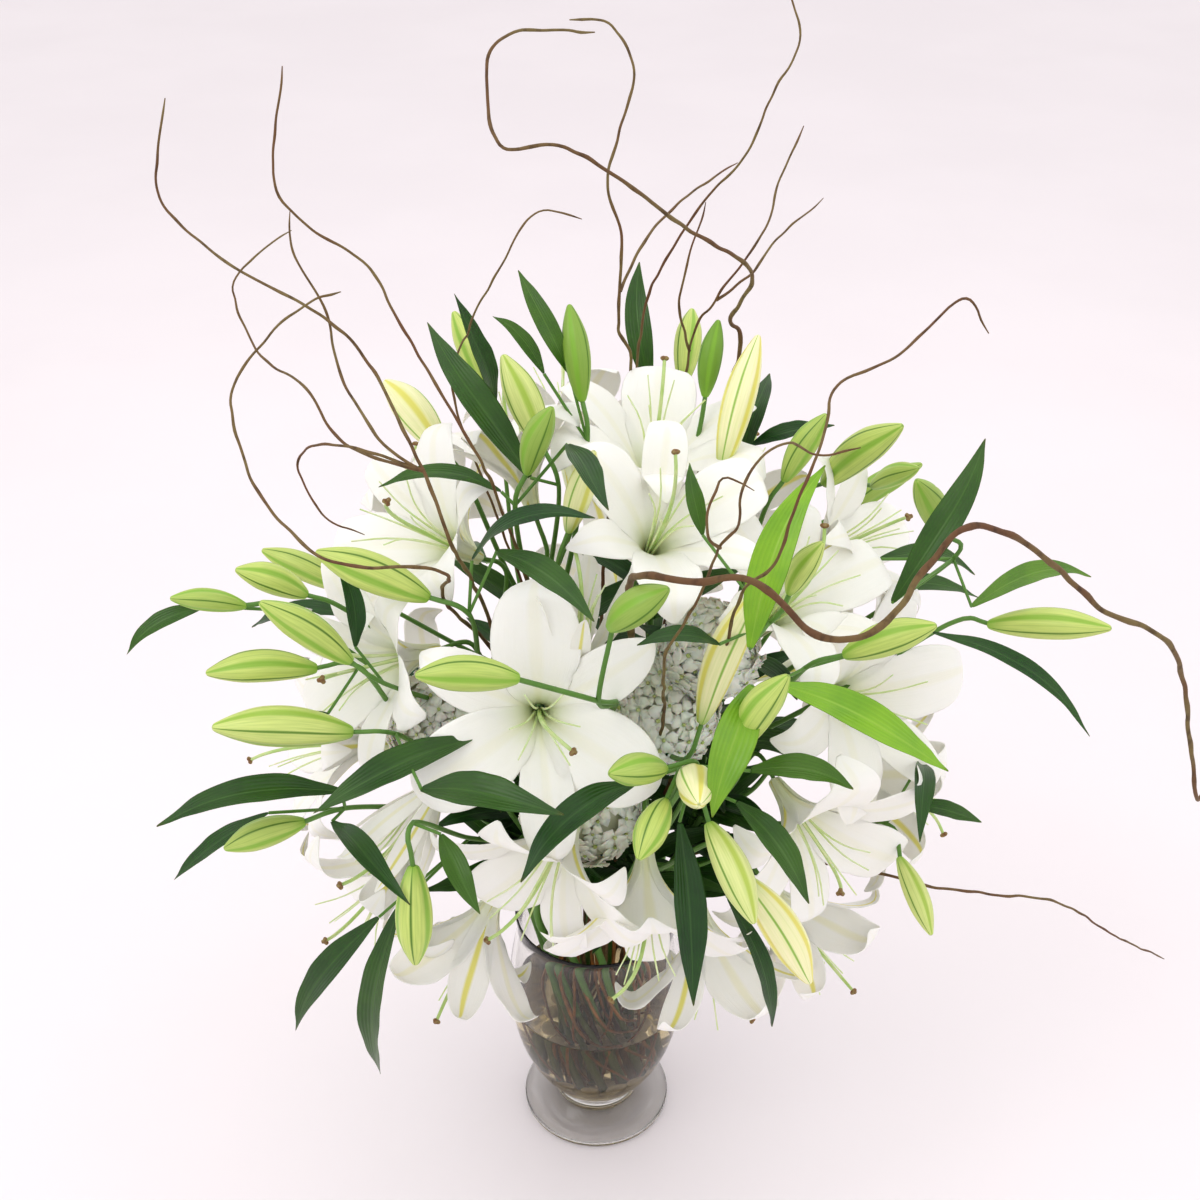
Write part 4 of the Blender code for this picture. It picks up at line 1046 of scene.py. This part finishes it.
def makeLilyStem(key, lily):
    chance = random.Random(int(key) * 7)
    cut, neck = spiralPoints(spiral["lilyRing"], lily["slot"], len(lilies))
    fork = cm(lily["fork"])
    leaving = neck + (neck - cut).normalized() * stemSize["straight"]
    mainLine = [cut, cut.lerp(neck, 0.5), neck, leaving, leaving.lerp(fork, 0.5), fork]
    parts = [stemAlong(mainLine, [stemSize["stem"]] * 4 + list(stemSize["upper"]), finish["stem"])]
    ends = []
    for throat, facing, radius, opening, roll in lily["blooms"]:
        axis = Vector(facing).normalized()
        ends.append((cm(throat) - axis * (bloomForm["depth"] - 0.004), axis))
    for base, tip, radius, ripeness in lily["buds"]:
        axis = (cm(tip) - cm(base)).normalized()
        ends.append((cm(base) + axis * 0.004, axis))
    joints = [leaving.lerp(fork, 0.7), fork]
    wander = stemSize["wander"]
    for i, (end, axis) in enumerate(ends):
        root = fork.lerp(mainLine[-2], 0.1 * i)
        if i >= len(lily["blooms"]) and "via" in lily:
            middle = cm(lily["via"][-1])
            knots = [root] + [cm(point) for point in lily["via"]] + [end]
        else:
            bend = end - axis * stemSize["bend"]
            aside = [chance.uniform(-wander, wander), chance.uniform(-wander, wander), -stemSize["sag"]]
            middle = root.lerp(bend, 0.5) + Vector(aside)
            knots = [root, middle, bend, end]
            joints.append(bend)
        line = smoothRoute(knots, stemSize["step"])
        thick = [lerp(stemSize["stalk"], stemSize["stalkTip"], k / (len(line) - 1)) for k in range(len(line))]
        parts.append(stemAlong(line, thick, finish["stem"], 1))
        if "via" not in lily:
            joints.append(middle)
    blades = []
    for start, tip, width, lightness in lily["leaves"]:
        near = min(joints, key=lambda joint: (joint - cm(start)).length)
        leafNeck = [near, near.lerp(cm(start), 0.5), cm(start)]
        parts.append(stemAlong(leafNeck, [stemSize["leafNeck"]] * 3, finish["stem"], 1))
        blades.append(makeLeaf(cm(start), cm(tip), width * 0.01, lightness, chance))
    # foliage up the stem, under the flowers
    for i in range(underLeaves["count"]):
        start = leaving.lerp(fork, lerp(0.25, 1.0, (i + 0.5) / underLeaves["count"]))
        around = i * underLeaves["turn"] + chance.uniform(-0.4, 0.4)
        out = Vector((math.cos(around), math.sin(around), chance.uniform(0.1, 0.7))).normalized()
        tip = start + out * chance.uniform(*underLeaves["length"])
        blades.append(makeLeaf(start, tip, chance.uniform(*underLeaves["width"]), 0.0, chance))
    stems = joinAs(f"lilyStem{key}", parts)
    finishPiece(stems, "lily_green", f"lily_stem_{key}")
    leaves = joinAs(f"lilyLeaves{key}", blades)
    applyModifier(leaves, "SUBSURF", levels=1, render_levels=1)
    finishPiece(leaves, "lily_green")
    buds = joinAs(f"lilyBuds{key}", [makeBud(cm(base), cm(tip), radius * 0.01, ripeness, chance)
                                     for base, tip, radius, ripeness in lily["buds"]])
    applyModifier(buds, "SUBSURF", levels=1, render_levels=1)
    finishPiece(buds, "lily_green")


budShape = budStart()
leafShapes = [leafStart(seed) for seed in (11, 12, 13)]
for key, lily in lilies.items():
    makeLilyStem(key, lily)
removeAll(leafShapes + [budShape])
print("lily stems, leaves and buds made:", len(lilies))

# curly willow: smooth bark with a small swelling at each node
willowForm = {"step": 0.011, "nodeEvery": 4, "swell": 1.22, "kink": 0.0007, "twig": (1.5, 0.8), "sides": 2}


def willowStick(points, thick, thin, chance):
    route = smoothRoute(points, willowForm["step"])
    radii = []
    for i, point in enumerate(route):
        swell = willowForm["swell"] if i % willowForm["nodeEvery"] == 0 else 1.0
        radii.append(lerp(thick, thin, i / (len(route) - 1)) * swell)
        point += anyWay(chance) * willowForm["kink"]
    radii[-1] = thin * 0.5
    return stemAlong(route, radii, finish["bark"], willowForm["sides"])


def bearing(key):
    x, y, _ = willows[key]["route"][0]
    return math.atan2(y, x) % math.tau


willowOrder = sorted(willows, key=bearing)
for key, branch in willows.items():
    chance = random.Random(int(key) * 13)
    slot = willowOrder.index(key)
    cut, neck = spiralPoints(spiral["willowRing"], slot, len(willows), math.radians(12))
    thick, thin = (radius * 0.001 for radius in branch["radii"])
    sticks = [willowStick([cut, neck] + [cm(point) for point in branch["route"]], thick, thin, chance)]
    for twig in branch["twigs"]:
        ends = [thin * share for share in willowForm["twig"]]
        sticks.append(willowStick([cm(point) for point in twig], *ends, chance))
    willow = joinAs(f"willow{key}", sticks)
    finishPiece(willow, "willow_bark", f"willow_branch_{key}")
print("willow branches made:", len(willows))

# fine shoots of the willow curl down inside the bowl between the stems
shootForm = {"count": 26, "thick": (0.0022, 0.0012), "reach": (0.030, 0.066), "sweep": 1.9,
             "start": 0.042, "top": 0.262, "foot": 0.078, "points": 9, "wobble": 0.002}
chance = random.Random(31)
shoots = []
for i in range(shootForm["count"]):
    around = math.tau * i / shootForm["count"] + chance.uniform(-0.2, 0.2)
    sweep = chance.uniform(-0.3, 1.0) * shootForm["sweep"]
    reach = chance.uniform(*shootForm["reach"])
    line = []
    for step in range(shootForm["points"]):
        t = step / (shootForm["points"] - 1)
        angle = around + sweep * t ** 2
        out = lerp(shootForm["start"], reach, math.sin(math.pi * min(1.0, t * 1.25) / 2))
        out *= 1.0 - 0.35 * t ** 4
        out += shootForm["wobble"] * math.sin(3 * angle + 9 * t)
        height = lerp(shootForm["top"], shootForm["foot"], t)
        line.append(Vector((out * math.cos(angle), out * math.sin(angle), height)))
    line = smoothRoute(line, willowForm["step"])
    thick = [lerp(*shootForm["thick"], k / (len(line) - 1)) for k in range(len(line))]
    shoots.append(stemAlong(line, thick, finish["shoot"], 1))
finishPiece(joinAs("willowShoots", shoots), "willow_bark")
print("willow shoots in the bowl:", shootForm["count"])

# hydrangea: a head of small four-petalled florets round a core
floretForm = {"petal": 0.0108, "sizes": (0.8, 1.15), "count": 135, "thick": 0.10, "fuller": 1.22, "lean": 0.28}


def floretStart():
    petals = []
    for i in range(4):
        petal = fresh(bpy.ops.mesh.primitive_grid_add, x_subdivisions=1, y_subdivisions=2, size=1,
                      location=(0.6, 0, 0))
        pick(petal, lambda co: co.x < 0.2)
        bpy.ops.transform.resize(value=(1, 0.3, 1), center_override=(0.1, 0, 0))
        pick(petal, lambda co: co.x > 1.0 and abs(co.y) > 0.3)
        bpy.ops.transform.translate(value=(-0.26, 0, 0.14))
        bpy.ops.object.mode_set(mode="OBJECT")
        petal.data.materials.append(finish["floret"])
        applyModifier(petal, "SOLIDIFY", thickness=floretForm["thick"], offset=-1.0)
        petal.data.transform(Matrix.Rotation(math.tau * i / 4, 4, "Z"))
        petals.append(petal)
    eye = fresh(bpy.ops.mesh.primitive_ico_sphere_add, subdivisions=1, radius=0.17, location=(0, 0, 0.06))
    eye.data.materials.append(finish["floretEye"])
    return joinAs("floret", petals + [eye])


floret = floretStart()
for number, (key, (centre, radius)) in enumerate(hydrangeas.items()):
    chance = random.Random(number + 50)
    centre, radius = cm(centre), radius * 0.01 * floretForm["fuller"]
    heads = []
    for i in range(floretForm["count"]):
        z = 1 - 2 * (i + 0.5) / floretForm["count"]
        around = i * math.pi * (3 - math.sqrt(5)) + chance.uniform(-0.1, 0.1)
        out = Vector((math.cos(around) * math.sqrt(1 - z * z), math.sin(around) * math.sqrt(1 - z * z), z))
        lean = (out + anyWay(chance) * floretForm["lean"]).normalized()
        turn = lean.to_track_quat("Z", "Y").to_matrix().to_4x4()
        turn = turn @ Matrix.Rotation(chance.uniform(0, math.tau), 4, "Z")
        size = Matrix.Scale(floretForm["petal"] * chance.uniform(*floretForm["sizes"]), 4)
        place = Matrix.Translation(centre + out * (radius + chance.uniform(-0.003, 0.003)))
        heads.append(copyOf(floret, place @ turn @ size))
    florets = joinAs(f"hydrangeaFlorets{key}", heads)
    finishPiece(florets, "hydrangea_white", f"hydrangea_{key}")
    core = fresh(bpy.ops.mesh.primitive_ico_sphere_add, subdivisions=3, radius=radius * 0.9, location=centre)
    bpy.ops.object.mode_set(mode="EDIT")
    bpy.ops.mesh.select_all(action="SELECT")
    bpy.ops.transform.vertex_random(offset=0.0022, seed=number)
    bpy.ops.object.mode_set(mode="OBJECT")
    core.data.materials.append(finish["core"])
    cut, neck = spiralPoints(spiral["hydrangeaRing"], number, len(hydrangeas), math.radians(200))
    leaving = neck + (neck - cut).normalized() * 0.04
    stalk = stemAlong([cut, neck, leaving, leaving.lerp(centre, 0.5), centre], [0.003] * 5, finish["stem"])
    core = joinAs(f"hydrangeaCore{key}", [core, stalk])
    finishPiece(core, "hydrangea_white")
removeAll([floret])
print("hydrangea heads made:", len(hydrangeas))


# floor, light and camera
stageLook = {
    "size": 14.0, "place": (0, 3.0, -0.0006), "floor": (0.88, 0.83, 0.85), "floorPatch": (0.90, 0.85, 0.87),
    "world": (1.0, 0.975, 0.985), "worldStrength": 0.83,
}
floor = fresh(bpy.ops.mesh.primitive_plane_add, size=stageLook["size"], location=stageLook["place"])
floor.name = "paleFloor"
floorFinish = softFinish("paleFloor", stageLook["floor"], stageLook["floorPatch"], 1.5, 0.6, 0.0)
floor.data.materials.append(floorFinish)

sky = bpy.data.worlds.new("softSky")
bpy.context.scene.world = sky
sky.use_nodes = True
skyLight = sky.node_tree.nodes["Background"]
skyLight.inputs[0].default_value = (*stageLook["world"], 1.0)
skyLight.inputs[1].default_value = stageLook["worldStrength"]

softboxes = {
    "keyLeft": {"place": (-1.6, -1.2, 2.6), "size": 1.6, "power": 14.0},
    "fillRight": {"place": (1.9, -1.0, 2.0), "size": 1.8, "power": 6.5},
    "overhead": {"place": (0.2, 0.9, 2.9), "size": 2.2, "power": 8.5},
}
for name, box in softboxes.items():
    bpy.ops.object.light_add(type="AREA", location=box["place"])
    lamp = bpy.context.object
    lamp.name = name
    lamp.data.size = box["size"]
    lamp.data.energy = box["power"]
    lamp.rotation_euler = (Vector((0, -0.05, 0.5)) - Vector(box["place"])).to_track_quat("-Z", "Y").to_euler()

view = {"place": (0.004, -1.17, 1.395), "tilt": 57.0, "lens": 48.0}
bpy.ops.object.camera_add(location=view["place"], rotation=(math.radians(view["tilt"]), 0, 0))
camera = bpy.context.object
camera.data.lens = view["lens"]
camera.data.sensor_width = 36.0
camera.data.clip_end = 60.0
bpy.context.scene.camera = camera
bpy.context.scene.view_settings.view_transform = "Standard"
bpy.context.scene.view_settings.look = "Medium High Contrast"
print("stage, light and camera set")
